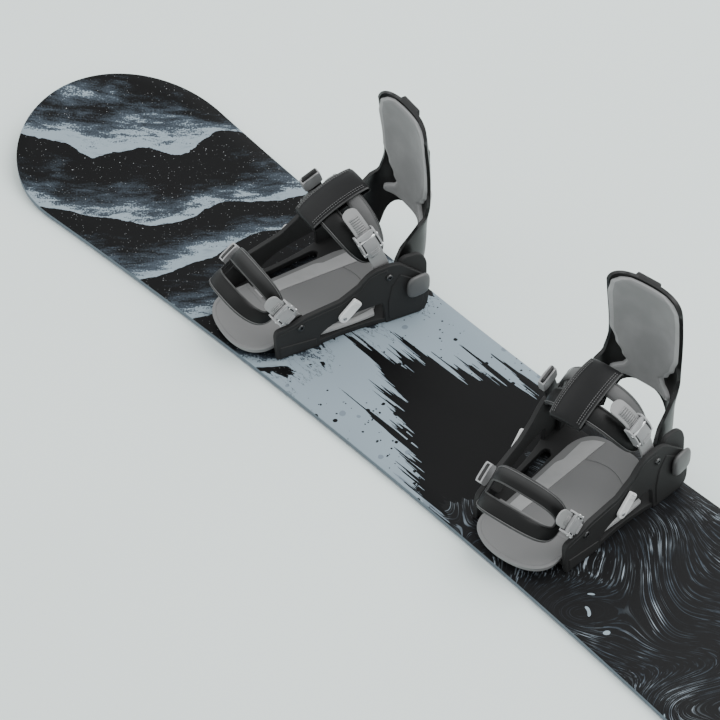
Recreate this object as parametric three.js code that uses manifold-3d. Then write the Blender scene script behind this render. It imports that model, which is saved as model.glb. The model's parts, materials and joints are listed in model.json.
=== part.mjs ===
// A snowboard with a pair of strap bindings.
//
// Frame, in millimetres: X runs along the board with the nose at -X and the tail at +X,
// +Y is the heel side, -Y the toe side, +Z is up. The origin is the centre of the flat base.
// Each binding is built in a frame of its own, with its origin on the deck at the centre of the
// mounting disc, and is then turned to its stance angle and set on the board.

import * as THREE from "three";
import { mergeVertices } from "three/addons/utils/BufferGeometryUtils.js";
import Module from "manifold-3d";

const wasm = await Module();
wasm.setup();

// ---- board ----
const BOARD_LENGTH = 1500;
const EFFECTIVE_EDGE = 1184;
const CONTACT_LENGTH = 1160;
const WAIST_WIDTH = 252;
const SIDECUT_RADIUS = 8139;
const TIP_POWER = 2.39;
const TIP_LIFT = 30;
const BOARD_THICKNESS = 10;
const BASE_SHEET = 1.2;
const EDGE_HEIGHT = 2;
const EDGE_WIDTH = 2.2;
const SIDEWALL_WIDTH = 7.5;
const TOPSHEET = 1.3;
const GAP = 0.3;

// ---- stance ----
const STANCES = [
  { name: "front", x: -243, y: -1, angle: -9 },
  { name: "rear", x: 224, y: 1, angle: 9 },
];

// ---- mounting disc and its screws ----
const DISC_RADIUS = 50;
const DISC_BORE = 42;
const DISC_LEDGE = 4.3;
const SCREW_PITCH = 40;
const SCREW_RADIUS = 3;
const SCREW_HEAD = 5.5;
const SCREW_DEPTH = 6.5;

// ---- baseplate ----
const DECK_GAP = 0.4;
const FLOOR_TOP = 8;
const RAIL_OUTER = 71;
const RAIL_START = -88;
const RAIL_SPLAY = 0.1;
const RAIL_THICKNESS = 6.5;
const RAIL_LEAN = 0.07;

// ---- highback ----
const HINGE_Y = 104;
const HINGE_Z = 48;
const HIGHBACK_TOP = 254;
const HIGHBACK_FOOT = 28;
const SHELL = 5;
const PAD = 4;
const LEAN_CENTRE = 10;
const PAD_GAP = 1.8;

// ---- straps ----
const ANKLE = { y: 67, z: 72, tilt: 20, halfWidth: 62, crown: 84, power: 2.7 };
const TOE = { y: -56, z: 40, tilt: 35, halfWidth: 54, crown: 66, power: 3 };
const LADDER_WIDTH = 21;
const LADDER_HALF = 1.5;
const LADDER_TIP = 9;
const TOOTH_PITCH = 3;
const TOOTH_HEIGHT = 0.7;

const RAD = Math.PI / 180;
const HOLE_SIDES = 12;

// ---- finishes ----
function finish(color, roughness, metalness = 0) {
  return new THREE.MeshStandardMaterial({ color, roughness, metalness });
}

const FINISH = {
  base: () => finish(0x1a1b1d, 0.35),
  edge: () => finish(0xb9bcc0, 0.3, 1),
  core: () => finish(0xb48a5a, 0.7),
  sidewall: () => finish(0x5c656d, 0.5),
  topsheet: () => finish(0x39424a, 0.4),
  shell: () => finish(0x161617, 0.5),
  strap: () => finish(0x2c2c2d, 0.6),
  grey: () => finish(0x858585, 0.6),
  buckle: () => finish(0x9a9a9a, 0.4, 0.3),
  white: () => finish(0xe6e6e6, 0.4),
  screw: () => finish(0x8e9196, 0.3, 1),
};

// ---- meshes and solids ----

/** Signed volume of an indexed geometry, positive when its faces point out. */
function signedVolume(geometry) {
  const p = geometry.attributes.position;
  const index = geometry.index.array;
  const a = new THREE.Vector3();
  const b = new THREE.Vector3();
  const c = new THREE.Vector3();
  let total = 0;
  for (let i = 0; i < index.length; i += 3) {
    a.fromBufferAttribute(p, index[i]);
    b.fromBufferAttribute(p, index[i + 1]);
    c.fromBufferAttribute(p, index[i + 2]);
    total += a.dot(b.cross(c)) / 6;
  }
  return total;
}

/** Merge shared corners and turn the faces outward. */
function closed(geometry) {
  geometry.deleteAttribute("normal");
  geometry.deleteAttribute("uv");
  const merged = mergeVertices(geometry, 1e-4);
  if (signedVolume(merged) < 0) {
    merged.setIndex(Array.from(merged.index.array).reverse());
  }
  return merged;
}

function solid(geometry) {
  const merged = closed(geometry);
  return new wasm.Manifold(new wasm.Mesh({
    numProp: 3,
    vertProperties: new Float32Array(merged.attributes.position.array),
    triVerts: new Uint32Array(merged.index.array),
  }));
}

function geometryOf(manifold) {
  const mesh = manifold.getMesh();
  const geometry = new THREE.BufferGeometry();
  geometry.setAttribute("position", new THREE.BufferAttribute(new Float32Array(mesh.vertProperties), 3));
  geometry.setIndex(new THREE.BufferAttribute(new Uint32Array(mesh.triVerts), 1));
  geometry.computeVertexNormals();
  return geometry;
}

/** Move every vertex of a geometry by a function of its place. */
function reshape(geometry, move) {
  const p = geometry.attributes.position;
  const v = new THREE.Vector3();
  for (let i = 0; i < p.count; i += 1) {
    const moved = move(v.fromBufferAttribute(p, i));
    p.setXYZ(i, moved.x, moved.y, moved.z);
  }
  return geometry;
}

function named(name, geometry, material) {
  const mesh = new THREE.Mesh(geometry, material);
  mesh.name = name;
  return mesh;
}

function shapeOf(points) {
  return new THREE.Shape(points.map(([x, y]) => new THREE.Vector2(x, y)));
}

/** A shape drawn in X and Y, extruded from z0 to z1. */
function slab(shape, z0, z1, curveSegments = 12) {
  const geometry = new THREE.ExtrudeGeometry(shape, { depth: z1 - z0, bevelEnabled: false, curveSegments });
  return geometry.translate(0, 0, z0);
}

/** A shape drawn in Y and Z, extruded from x0 to x1. */
function sideSlab(shape, x0, x1, curveSegments = 12) {
  const geometry = slab(shape, x0, x1, curveSegments);
  return reshape(geometry, (v) => new THREE.Vector3(v.z, v.x, v.y));
}

/** A shape drawn in X and Z, extruded from y0 to y1. */
function frontSlab(shape, y0, y1, curveSegments = 12) {
  const geometry = slab(shape, y0, y1, curveSegments);
  return reshape(geometry, (v) => new THREE.Vector3(v.x, v.z, v.y));
}

function upright(radius, z0, z1, x = 0, y = 0, sides = HOLE_SIDES) {
  const geometry = new THREE.CylinderGeometry(radius, radius, z1 - z0, sides);
  return geometry.rotateX(Math.PI / 2).translate(x, y, (z0 + z1) / 2);
}

function crosswise(radius, x0, x1, y, z, sides = HOLE_SIDES) {
  const geometry = new THREE.CylinderGeometry(radius, radius, x1 - x0, sides);
  return geometry.rotateZ(Math.PI / 2).translate((x0 + x1) / 2, y, z);
}

// ---- board ----

/** Half the board's width at a distance along it. */
function halfWidth(x) {
  const half = EFFECTIVE_EDGE / 2;
  const d = Math.abs(x);
  if (d <= half) {
    return WAIST_WIDTH / 2 + (d * d) / (2 * SIDECUT_RADIUS);
  }
  const reach = (BOARD_LENGTH - EFFECTIVE_EDGE) / 2;
  const t = Math.min((d - half) / reach, 1);
  const widest = WAIST_WIDTH / 2 + (half * half) / (2 * SIDECUT_RADIUS);
  const slope = half / SIDECUT_RADIUS;
  return (widest + slope * reach * t * (1 - t) ** 2) * Math.sqrt(Math.max(1 - t ** TIP_POWER, 0));
}

/** Outline of the board seen from above, drawn in by an inset. */
function boardOutline(inset) {
  const stations = [];
  const sideSteps = 6;
  const tipSteps = 11;
  const half = EFFECTIVE_EDGE / 2;
  const reach = (BOARD_LENGTH - EFFECTIVE_EDGE) / 2;
  for (let i = 0; i < sideSteps; i += 1) {
    stations.push((half * i) / sideSteps);
  }
  for (let i = 0; i <= tipSteps; i += 1) {
    stations.push(half + reach * Math.sin((Math.PI / 2) * (i / tipSteps)));
  }
  const quarter = stations.map((x) => [x, halfWidth(x)]);
  const edge = [];
  for (const [x, y] of quarter.slice().reverse()) {
    edge.push([x, y]);
  }
  for (const [x, y] of quarter.slice(1)) {
    edge.push([-x, y]);
  }
  for (const [x, y] of quarter.slice(0, -1).reverse()) {
    edge.push([-x, -y]);
  }
  for (const [x, y] of quarter.slice(1, -1)) {
    edge.push([x, -y]);
  }
  const count = edge.length;
  const drawn = edge.map(([x, y], i) => {
    const [ax, ay] = edge[(i + count - 1) % count];
    const [bx, by] = edge[(i + 1) % count];
    const run = Math.hypot(bx - ax, by - ay);
    return [x - (inset * (by - ay)) / run, y + (inset * (bx - ax)) / run];
  });
  return shapeOf(drawn);
}

/** Height of the base above the ground: flat between the contacts, then a smooth rise. */
function rocker(x) {
  const d = Math.max(Math.abs(x) - CONTACT_LENGTH / 2, 0);
  const run = (BOARD_LENGTH - CONTACT_LENGTH) / 2;
  return TIP_LIFT * (d / run) ** 2;
}

/** A layer that follows the rocker, between two heights above the base. */
function layer(low, high) {
  const xs = [];
  const run = (BOARD_LENGTH - CONTACT_LENGTH) / 2 + 5;
  const steps = 6;
  for (let i = steps; i >= 0; i -= 1) {
    xs.push(-CONTACT_LENGTH / 2 - (run * i) / steps);
  }
  for (let i = 0; i <= steps; i += 1) {
    xs.push(CONTACT_LENGTH / 2 + (run * i) / steps);
  }
  const below = xs.map((x) => [x, rocker(x) + low]);
  const above = xs.map((x) => [x, rocker(x) + high]).reverse();
  return solid(frontSlab(shapeOf([...below, ...above]), -WAIST_WIDTH, WAIST_WIDTH));
}

function boardPlate(low, high, inset) {
  const prism = solid(slab(boardOutline(inset), -5, 60));
  return layer(low, high).intersect(prism);
}

function boardRing(low, high, width) {
  const inner = solid(slab(boardOutline(width), -5, 60));
  return boardPlate(low, high, 0).subtract(inner);
}

/** Places of the four screws about the centre of the disc. */
function screwPlaces() {
  const half = SCREW_PITCH / 2;
  return [[-half, -half], [-half, half], [half, -half], [half, half]];
}

/** Cut the insert holes for both bindings. */
function withInserts(plate) {
  let cut = plate;
  for (const stance of STANCES) {
    for (const [x, y] of screwPlaces()) {
      cut = cut.subtract(solid(upright(SCREW_RADIUS + GAP, 2.5, 20, stance.x + x, stance.y + y, 8)));
    }
  }
  return cut;
}

function board() {
  const group = new THREE.Group();
  const wallTop = BOARD_THICKNESS - TOPSHEET - GAP;
  const base = boardPlate(0, BASE_SHEET, EDGE_WIDTH + GAP);
  const edge = boardRing(0, EDGE_HEIGHT, EDGE_WIDTH);
  const core = withInserts(boardPlate(BASE_SHEET + GAP, wallTop, SIDEWALL_WIDTH + GAP));
  const sidewall = boardRing(EDGE_HEIGHT + GAP, wallTop, SIDEWALL_WIDTH);
  const topsheet = withInserts(boardPlate(BOARD_THICKNESS - TOPSHEET, BOARD_THICKNESS, 0));
  group.add(named("board_base", geometryOf(base), FINISH.base()));
  group.add(named("board_edge", geometryOf(edge), FINISH.edge()));
  group.add(named("board_core", geometryOf(core), FINISH.core()));
  group.add(named("board_sidewall", geometryOf(sidewall), FINISH.sidewall()));
  group.add(named("board_topsheet", geometryOf(topsheet), FINISH.topsheet()));
  return group;
}

// ---- mounting disc ----

function mountingDisc() {
  const profile = [
    [0, 0.6],
    [DISC_BORE, 0.6],
    [DISC_BORE, DISC_LEDGE + GAP],
    [DISC_RADIUS, DISC_LEDGE + GAP],
    [DISC_RADIUS, 6.4],
    [DISC_RADIUS - 2, 7.4],
    [DISC_RADIUS - 10, 7.4],
    [DISC_RADIUS - 12, 5.4],
    [0, 5.4],
  ];
  const lathe = new THREE.LatheGeometry(profile.map(([r, z]) => new THREE.Vector2(r, z)), 24);
  let disc = solid(lathe.rotateX(Math.PI / 2));
  for (const [x, y] of screwPlaces()) {
    disc = disc.subtract(solid(upright(SCREW_RADIUS + GAP, -1, 9, x, y, 8)));
  }
  return geometryOf(disc);
}

/** Four screws whose heads bear on one thin square-set washer ring. */
function discScrews() {
  const ringRadius = SCREW_PITCH / Math.SQRT2;
  let screws = solid(upright(ringRadius + 4, 5.7, 6.7, 0, 0, 20));
  screws = screws.subtract(solid(upright(ringRadius - 4, 5, 8, 0, 0, 20)));
  for (const [x, y] of screwPlaces()) {
    screws = screws.add(solid(upright(SCREW_HEAD, 5.7, 8, x, y, 8)));
    screws = screws.add(solid(upright(SCREW_RADIUS, -SCREW_DEPTH, 6, x, y, 6)));
  }
  return geometryOf(screws);
}

// ---- baseplate ----

/** Outer face of the right-hand rail at a place along and above the deck. */
function railFace(y, z) {
  return RAIL_OUTER + RAIL_SPLAY * (y - RAIL_START) - RAIL_LEAN * z;
}

/** Side outline of a rail: front foot, long arch, heel foot, rising top edge and heel wing. */
function railOutline() {
  const shape = new THREE.Shape();
  shape.moveTo(-90, DECK_GAP);
  shape.lineTo(-31, DECK_GAP);
  shape.lineTo(-31, 16);
  shape.quadraticCurveTo(-18, 30, 20, 33);
  shape.lineTo(52, 34);
  shape.quadraticCurveTo(58, 34, 58, 26);
  shape.lineTo(60, DECK_GAP);
  shape.lineTo(108, DECK_GAP);
  shape.quadraticCurveTo(119, 4, 120, 20);
  shape.lineTo(121, 42);
  shape.quadraticCurveTo(120, 52, 113, 59);
  shape.lineTo(86, 84);
  shape.quadraticCurveTo(79, 89, 66, 89);
  shape.lineTo(50, 88);
  shape.quadraticCurveTo(40, 86, 26, 72);
  shape.lineTo(0, 59);
  shape.lineTo(-48, 53);
  shape.lineTo(-66, 47);
  shape.lineTo(-84, 45);
  shape.quadraticCurveTo(-91, 44, -91, 34);
  shape.closePath();
  return shape;
}

function rail(side) {
  const wall = sideSlab(railOutline(), 0, RAIL_THICKNESS, 3);
  reshape(wall, (v) => new THREE.Vector3(side * (railFace(v.y, v.z) - v.x), v.y, v.z));
  return solid(wall);
}

/** Floor plate outline, drawn to the outer foot of each rail. */
function floorOutline() {
  const shape = new THREE.Shape();
  const edge = (y) => RAIL_OUTER + RAIL_SPLAY * (y - RAIL_START) - 2;
  shape.moveTo(-52, -84);
  shape.quadraticCurveTo(0, -94, 52, -84);
  shape.lineTo(edge(-84), -84);
  shape.lineTo(edge(-31), -31);
  shape.quadraticCurveTo(edge(14) - 6, 14, edge(60), 60);
  shape.lineTo(edge(107), 107);
  shape.quadraticCurveTo(0, 92, -edge(107), 107);
  shape.lineTo(-edge(60), 60);
  shape.quadraticCurveTo(-edge(14) + 6, 14, -edge(-31), -31);
  shape.lineTo(-edge(-84), -84);
  shape.closePath();
  return shape;
}

/** Open side slot of the floor, beside the disc. */
function floorSlot(side) {
  const shape = new THREE.Shape();
  shape.moveTo(side * 57, -24);
  shape.quadraticCurveTo(side * 57, -30, side * 62, -30);
  shape.lineTo(side * 66, 40);
  shape.quadraticCurveTo(side * 67, 50, side * 60, 50);
  shape.lineTo(side * 57, 44);
  shape.closePath();
  return shape;
}

function baseplate() {
  let plate = solid(slab(floorOutline(), DECK_GAP, FLOOR_TOP, 6));
  plate = plate.add(rail(1)).add(rail(-1));
  plate = plate.subtract(solid(upright(DISC_BORE + 0.9, -2, 20, 0, 0, 24)));
  plate = plate.subtract(solid(upright(DISC_RADIUS + 0.9, DISC_LEDGE, 20, 0, 0, 24)));
  for (const side of [-1, 1]) {
    plate = plate.subtract(solid(slab(floorSlot(side), -2, 20, 3)));
  }
  return geometryOf(plate.subtract(solid(crosswise(4.5, -110, 110, HINGE_Y, HINGE_Z))));
}

/** Foam footbed: straight left edge, and a lip that swells through the right-hand arch. */
function footbed() {
  const shape = new THREE.Shape();
  shape.moveTo(-48, -58);
  shape.lineTo(50, -58);
  shape.lineTo(56, -30);
  shape.quadraticCurveTo(72, 12, 64, 56);
  shape.lineTo(56, 62);
  shape.quadraticCurveTo(54, 98, 24, 104);
  shape.quadraticCurveTo(0, 107, -24, 104);
  shape.quadraticCurveTo(-46, 98, -49, 66);
  shape.closePath();
  return geometryOf(solid(slab(shape, FLOOR_TOP + 0.6, 14.5, 8)));
}

/** Half-moon toe ramp that slides forward from the front of the floor. */
function toeRamp() {
  const shape = new THREE.Shape();
  shape.moveTo(-54, -60);
  shape.lineTo(-53, -92);
  shape.bezierCurveTo(-50, -116, -26, -128, 6, -128);
  shape.bezierCurveTo(34, -128, 56, -118, 57, -94);
  shape.lineTo(57, -60);
  shape.closePath();
  const bevel = 3;
  const geometry = new THREE.ExtrudeGeometry(shape, {
    depth: 1.6,
    bevelEnabled: true,
    bevelThickness: bevel,
    bevelSize: bevel,
    bevelOffset: 0,
    bevelSegments: 1,
    curveSegments: 7,
  });
  const plate = solid(geometry.translate(0, 0, FLOOR_TOP + 0.6 + bevel));
  const trim = solid(new THREE.BoxGeometry(200, 20, 40).translate(0, -58 + 10 - 0.6, 12));
  return geometryOf(plate.subtract(trim));
}

// ---- heel sides and hinge bolts ----

function heelSide(side) {
  const shape = new THREE.Shape();
  shape.moveTo(84, FLOOR_TOP + 0.6);
  shape.lineTo(108, FLOOR_TOP + 0.6);
  shape.quadraticCurveTo(121, 18, 123, 38);
  shape.lineTo(124, 66);
  shape.quadraticCurveTo(122, 84, 110, 87);
  shape.lineTo(96, 88);
  shape.quadraticCurveTo(84, 86, 84, 70);
  shape.closePath();
  const thickness = 6.5;
  const plate = sideSlab(shape, 0, thickness, 6);
  const face = (v) => railFace(v.y, v.z) - RAIL_THICKNESS - 0.5;
  reshape(plate, (v) => new THREE.Vector3(side * (face(v) - v.x), v.y, v.z));
  return geometryOf(solid(plate).subtract(solid(crosswise(4.5, -110, 110, HINGE_Y, HINGE_Z))));
}

/** Pivot bolt of the highback: wide domed cap outside, shaft, and a small nut inside. */
function hingeBolt(side) {
  const outside = railFace(HINGE_Y, HINGE_Z) + 2.2;
  const profile = [
    [0, 54],
    [7, 54],
    [7, 57],
    [4, 57],
    [4, outside],
    [15, outside],
    [15.5, outside + 3],
    [12, outside + 5.5],
    [0, outside + 6.5],
  ];
  const lathe = new THREE.LatheGeometry(profile.map(([r, x]) => new THREE.Vector2(r, x)), 14);
  const bolt = closed(lathe.rotateZ(-Math.PI / 2).translate(0, HINGE_Y, HINGE_Z));
  return geometryOf(solid(reshape(bolt, (v) => new THREE.Vector3(side * v.x, v.y, v.z))));
}

// ---- highback ----

/** Section of the highback at a height: half width, back line, depth and squareness. */
function backSection(z) {
  const low = 1 - THREE.MathUtils.smoothstep(z, 52, 132);
  return {
    half: THREE.MathUtils.lerp(58, 66, low),
    back: 158 - 0.0008 * (z - 150) ** 2,
    depth: THREE.MathUtils.lerp(21, 88, low),
    power: THREE.MathUtils.lerp(2, 3.6, low),
  };
}

/** A curved wall between two offsets inside the highback's outer face. */
function backWall(outer, inner) {
  const columns = 12;
  const rows = 8;
  const positions = [];
  const index = [];
  const ring = 2 * (columns + 1);
  for (let r = 0; r <= rows; r += 1) {
    const z = THREE.MathUtils.lerp(HIGHBACK_FOOT - 4, HIGHBACK_TOP + 6, r / rows);
    const s = backSection(z);
    for (let k = 0; k < ring; k += 1) {
      const offset = k <= columns ? outer : inner;
      const step = k <= columns ? k : ring - 1 - k;
      const phi = -Math.PI / 2 + (Math.PI * step) / columns;
      const across = Math.sign(Math.sin(phi)) * Math.abs(Math.sin(phi)) ** (2 / s.power);
      const along = Math.abs(Math.cos(phi)) ** (2 / s.power);
      const x = (s.half - offset) * across;
      const y = s.back - s.depth + (s.depth - offset) * along;
      positions.push(x, y, z);
    }
  }
  for (let r = 0; r < rows; r += 1) {
    for (let k = 0; k < ring; k += 1) {
      const a = r * ring + k;
      const b = r * ring + ((k + 1) % ring);
      index.push(a, b, b + ring, a, b + ring, a + ring);
    }
  }
  for (let k = 0; k < columns; k += 1) {
    const far = ring - 1 - k;
    const top = rows * ring;
    index.push(k, far, k + 1, k + 1, far, far - 1);
    index.push(top + k, top + k + 1, top + far, top + k + 1, top + far - 1, top + far);
  }
  const geometry = new THREE.BufferGeometry();
  geometry.setAttribute("position", new THREE.Float32BufferAttribute(positions, 3));
  geometry.setIndex(index);
  return solid(geometry);
}

/** Front outline of the shell: square shoulders, slim waist and flaring wings. */
function backOutline() {
  const shape = new THREE.Shape();
  shape.moveTo(-70, HIGHBACK_FOOT - 2);
  shape.lineTo(70, HIGHBACK_FOOT - 2);
  shape.lineTo(70, 88);
  shape.bezierCurveTo(62, 106, 54, 118, 54, 146);
  shape.lineTo(56, HIGHBACK_TOP - 32);
  shape.bezierCurveTo(57, HIGHBACK_TOP - 10, 44, HIGHBACK_TOP - 4, 30, HIGHBACK_TOP - 2);
  shape.quadraticCurveTo(0, HIGHBACK_TOP + 2, -30, HIGHBACK_TOP - 2);
  shape.bezierCurveTo(-44, HIGHBACK_TOP - 4, -57, HIGHBACK_TOP - 10, -56, HIGHBACK_TOP - 32);
  shape.lineTo(-54, 146);
  shape.bezierCurveTo(-54, 118, -62, 106, -70, 88);
  shape.closePath();
  return shape;
}

/** Side outline: the wings reach forward to the hinge, and the body stands behind it. */
function wingOutline() {
  const shape = new THREE.Shape();
  shape.moveTo(88, 54);
  shape.quadraticCurveTo(88, 33, 104, 31);
  shape.lineTo(130, 34);
  shape.lineTo(200, 40);
  shape.lineTo(200, 260);
  shape.lineTo(104, 260);
  shape.lineTo(122, 132);
  shape.bezierCurveTo(118, 106, 90, 94, 88, 70);
  shape.closePath();
  return shape;
}

function archCut(halfSpan, apex) {
  const shape = new THREE.Shape();
  shape.moveTo(halfSpan, 0);
  shape.lineTo(halfSpan, 34);
  shape.bezierCurveTo(halfSpan, apex - 12, halfSpan * 0.55, apex, 0, apex);
  shape.bezierCurveTo(-halfSpan * 0.55, apex, -halfSpan, apex - 12, -halfSpan, 34);
  shape.lineTo(-halfSpan, 0);
  shape.closePath();
  return solid(frontSlab(shape, 40, 220, 6));
}

function highback() {
  let shell = backWall(0, SHELL);
  shell = shell.intersect(solid(frontSlab(backOutline(), 60, 200, 5)));
  shell = shell.intersect(solid(sideSlab(wingOutline(), -90, 90, 5)));
  shell = shell.subtract(archCut(48, 88));
  shell = shell.subtract(solid(crosswise(4.5, -110, 110, HINGE_Y, HINGE_Z)));
  const tab = new THREE.BoxGeometry(34, 9, 11, 1, 1, 1).translate(-8, 152.5, HIGHBACK_TOP - 9);
  return geometryOf(shell.add(solid(tab)));
}

/** Front outline of the pad: rounded top, side notches and a lobe along the arch. */
function padOutline() {
  const shape = new THREE.Shape();
  shape.moveTo(0, 92);
  shape.lineTo(18, 91);
  shape.bezierCurveTo(34, 88, 42, 92, 40, 97);
  shape.bezierCurveTo(38, 101, 28, 102, 27, 108);
  shape.bezierCurveTo(27, 116, 40, 112, 45, 119);
  shape.bezierCurveTo(50, 128, 48, 150, 49, 170);
  const top = HIGHBACK_TOP - 5;
  shape.lineTo(51, top - 31);
  shape.bezierCurveTo(52, top - 11, 42, top - 5, 26, top - 2);
  shape.quadraticCurveTo(0, top + 2, -26, top - 2);
  shape.bezierCurveTo(-42, top - 5, -52, top - 11, -51, top - 31);
  shape.lineTo(-49, 170);
  shape.bezierCurveTo(-48, 150, -50, 128, -45, 119);
  shape.bezierCurveTo(-40, 112, -27, 116, -27, 108);
  shape.bezierCurveTo(-28, 102, -38, 101, -40, 97);
  shape.bezierCurveTo(-42, 92, -34, 88, -18, 91);
  shape.closePath();
  return shape;
}

function highbackPad() {
  const wall = backWall(SHELL + PAD_GAP, SHELL + PAD_GAP + PAD);
  return geometryOf(wall.intersect(solid(frontSlab(padOutline(), 60, 200, 4))));
}

/** A plate that lies on the back of the highback, clear of it by a gap. */
function backPlate(centre, width, low, high, thickness, gap) {
  const plate = new THREE.BoxGeometry(width, thickness, high - low, 1, 1, 4);
  plate.translate(centre, thickness / 2 + gap, (low + high) / 2);
  return reshape(plate, (v) => new THREE.Vector3(v.x, v.y + backSection(v.z).back, v.z));
}

function leanBlock() {
  return geometryOf(solid(backPlate(LEAN_CENTRE, 28, 138, 172, 7, 1.2)));
}

function leanLever() {
  return geometryOf(solid(backPlate(LEAN_CENTRE + 4, 24, 98, 124, 7, 2)));
}

// ---- straps ----

/** Arch of a strap in its own plane: X across the binding, Y up from the pivots. */
class ArchCurve extends THREE.Curve {
  constructor(halfSpan, crown, power) {
    super();
    this.halfSpan = halfSpan;
    this.crown = crown;
    this.power = power;
  }

  getPoint(t, target = new THREE.Vector3()) {
    const c = Math.cos(Math.PI * t);
    const s = Math.sin(Math.PI * t);
    const x = this.halfSpan * Math.sign(c) * Math.abs(c) ** (2 / this.power);
    const y = this.crown * Math.abs(s) ** (2 / this.power);
    return target.set(x, y, 0);
  }
}

/** Place from run along the curve, width across it and height off it. */
function wrapped(curve, strap) {
  const length = curve.getLength();
  const tilt = strap.tilt * RAD;
  return (run, width, off) => {
    const u = THREE.MathUtils.clamp(run / length, 0, 1);
    const spare = run - u * length;
    const p = curve.getPointAt(u);
    const t = curve.getTangentAt(u);
    const across = p.x + off * t.y + spare * t.x;
    const up = p.y - off * t.x + spare * t.y;
    const y = strap.y + width * Math.cos(tilt) - up * Math.sin(tilt);
    const z = strap.z + width * Math.sin(tilt) + up * Math.cos(tilt);
    return new THREE.Vector3(across, y, z);
  };
}

/** Flat oval ring, bent over the arch: a strap pad with an open window. */
function padRing(place, ring) {
  const radius = 4;
  const tube = 1;
  const torus = new THREE.TorusGeometry(radius, tube, 6, 32);
  return solid(reshape(closed(torus), (v) => {
    const angle = Math.atan2(v.y, v.x);
    const across = (Math.hypot(v.x, v.y) - radius) / tube;
    const c = Math.cos(angle);
    const s = Math.sin(angle);
    const run = ring.halfRun * Math.sign(c) * Math.abs(c) ** (2 / ring.power);
    const width = ring.halfWidth * Math.sign(s) * Math.abs(s) ** (2 / ring.power);
    const nx = run / ring.halfRun ** 2;
    const ny = width / ring.halfWidth ** 2;
    const scale = (across * ring.band) / Math.hypot(nx, ny);
    return place(ring.centre + run + nx * scale, ring.shift + width + ny * scale, (v.z * ring.thick) / tube);
  }));
}

/** A section drawn across the strap, run along it between two places. */
function alongStrap(place, shape, from, to, steps) {
  const geometry = new THREE.ExtrudeGeometry(shape, { depth: to - from, steps, bevelEnabled: false, curveSegments: 4 });
  return solid(reshape(geometry, (v) => place(from + v.z, v.x, v.y)));
}

function box2(width, low, high, shift = 0) {
  const half = width / 2;
  return shapeOf([
    [shift - half, low],
    [shift + half, low],
    [shift + half, high],
    [shift - half, high],
  ]);
}

/** Toothed ladder strip, plain at its anchor and rounded at its free end. */
function ladder(place, from, to) {
  const steps = Math.round((to - from) / TOOTH_PITCH);
  const pitch = (to - from) / steps;
  const section = box2(LADDER_WIDTH, -LADDER_HALF, LADDER_HALF);
  const strip = new THREE.ExtrudeGeometry(section, { depth: to - from, steps, bevelEnabled: false });
  return geometryOf(solid(reshape(strip, (v) => {
    const step = Math.round(v.z / pitch);
    const toothed = step % 2 === 1 && step > 4 && step < steps - 4;
    const off = v.y > 0 && toothed ? v.y + TOOTH_HEIGHT : v.y;
    const taper = Math.max(v.z - (to - from - LADDER_TIP), 0) / LADDER_TIP;
    const width = v.x * Math.sqrt(1 - 0.8 * taper * taper);
    return place(from + v.z, width, off);
  })));
}

/** Open channel that the ladder or link runs through. */
function channel(place, from, to, inner) {
  const half = inner / 2 + 3;
  const shape = shapeOf([
    [-half, -4.4],
    [half, -4.4],
    [half, 5.5],
    [half - 2.4, 5.5],
    [half - 2.4, -2.2],
    [2.4 - half, -2.2],
    [2.4 - half, 5.5],
    [-half, 5.5],
  ]);
  return geometryOf(alongStrap(place, shape, from, to, 5));
}

/** Curve of a ladder or link from its anchor to its free end, on one side. */
function strapLine(side, foot, bend, tip) {
  const point = ([x, y]) => new THREE.Vector3(side * x, y, 0);
  return new THREE.QuadraticBezierCurve3(point(foot), point(bend), point(tip));
}

/** On the left side the run goes up from the anchor too, so outward is mirrored. */
function wrappedSide(curve, strap, side) {
  const place = wrapped(curve, strap);
  return (run, width, off) => place(run, width, side * off);
}

function ankleParts() {
  const pad = wrapped(new ArchCurve(ANKLE.halfWidth, ANKLE.crown, ANKLE.power), ANKLE);
  const arch = new ArchCurve(ANKLE.halfWidth, ANKLE.crown, ANKLE.power).getLength();
  const ring = { centre: arch / 2 - 2, halfRun: arch / 2 - 24, halfWidth: 27.6, power: 2.6, band: 13, thick: 5, shift: 0 };
  const sleeve = new THREE.Shape();
  const outer = 45;
  const inner = 42.2;
  sleeve.moveTo(-outer + 4, -8.4);
  sleeve.lineTo(outer - 4, -8.4);
  sleeve.quadraticCurveTo(outer, -8.4, outer, 0);
  sleeve.quadraticCurveTo(outer, 8.4, outer - 4, 8.4);
  sleeve.lineTo(-outer + 4, 8.4);
  sleeve.quadraticCurveTo(-outer, 8.4, -outer, 0);
  sleeve.quadraticCurveTo(-outer, -8.4, -outer + 4, -8.4);
  sleeve.holes.push(shapeOf([
    [-inner, -6],
    [inner, -6],
    [inner, 6],
    [-inner, 6],
  ]));
  const right = wrappedSide(strapLine(1, [68, -6], [76, 90], [34, 97]), ANKLE, 1);
  const left = wrappedSide(strapLine(-1, [66, -6], [74.5, 62], [62, 84]), ANKLE, -1);
  return {
    strap: geometryOf(padRing(pad, ring)),
    sleeve: geometryOf(alongStrap(pad, sleeve, arch / 2 - 16, arch / 2 + 30, 8)),
    ladder: ladder(right, 0, 118),
    buckle: channel(right, 52, 84, LADDER_WIDTH),
    lever: geometryOf(alongStrap(right, box2(20.4, 3.2, 6.4), 50, 78, 4)),
    link: geometryOf(alongStrap(left, box2(22, -1.6, 1.6), 0, 88, 10)),
    clip: channel(left, 58, 80, 22),
  };
}

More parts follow.
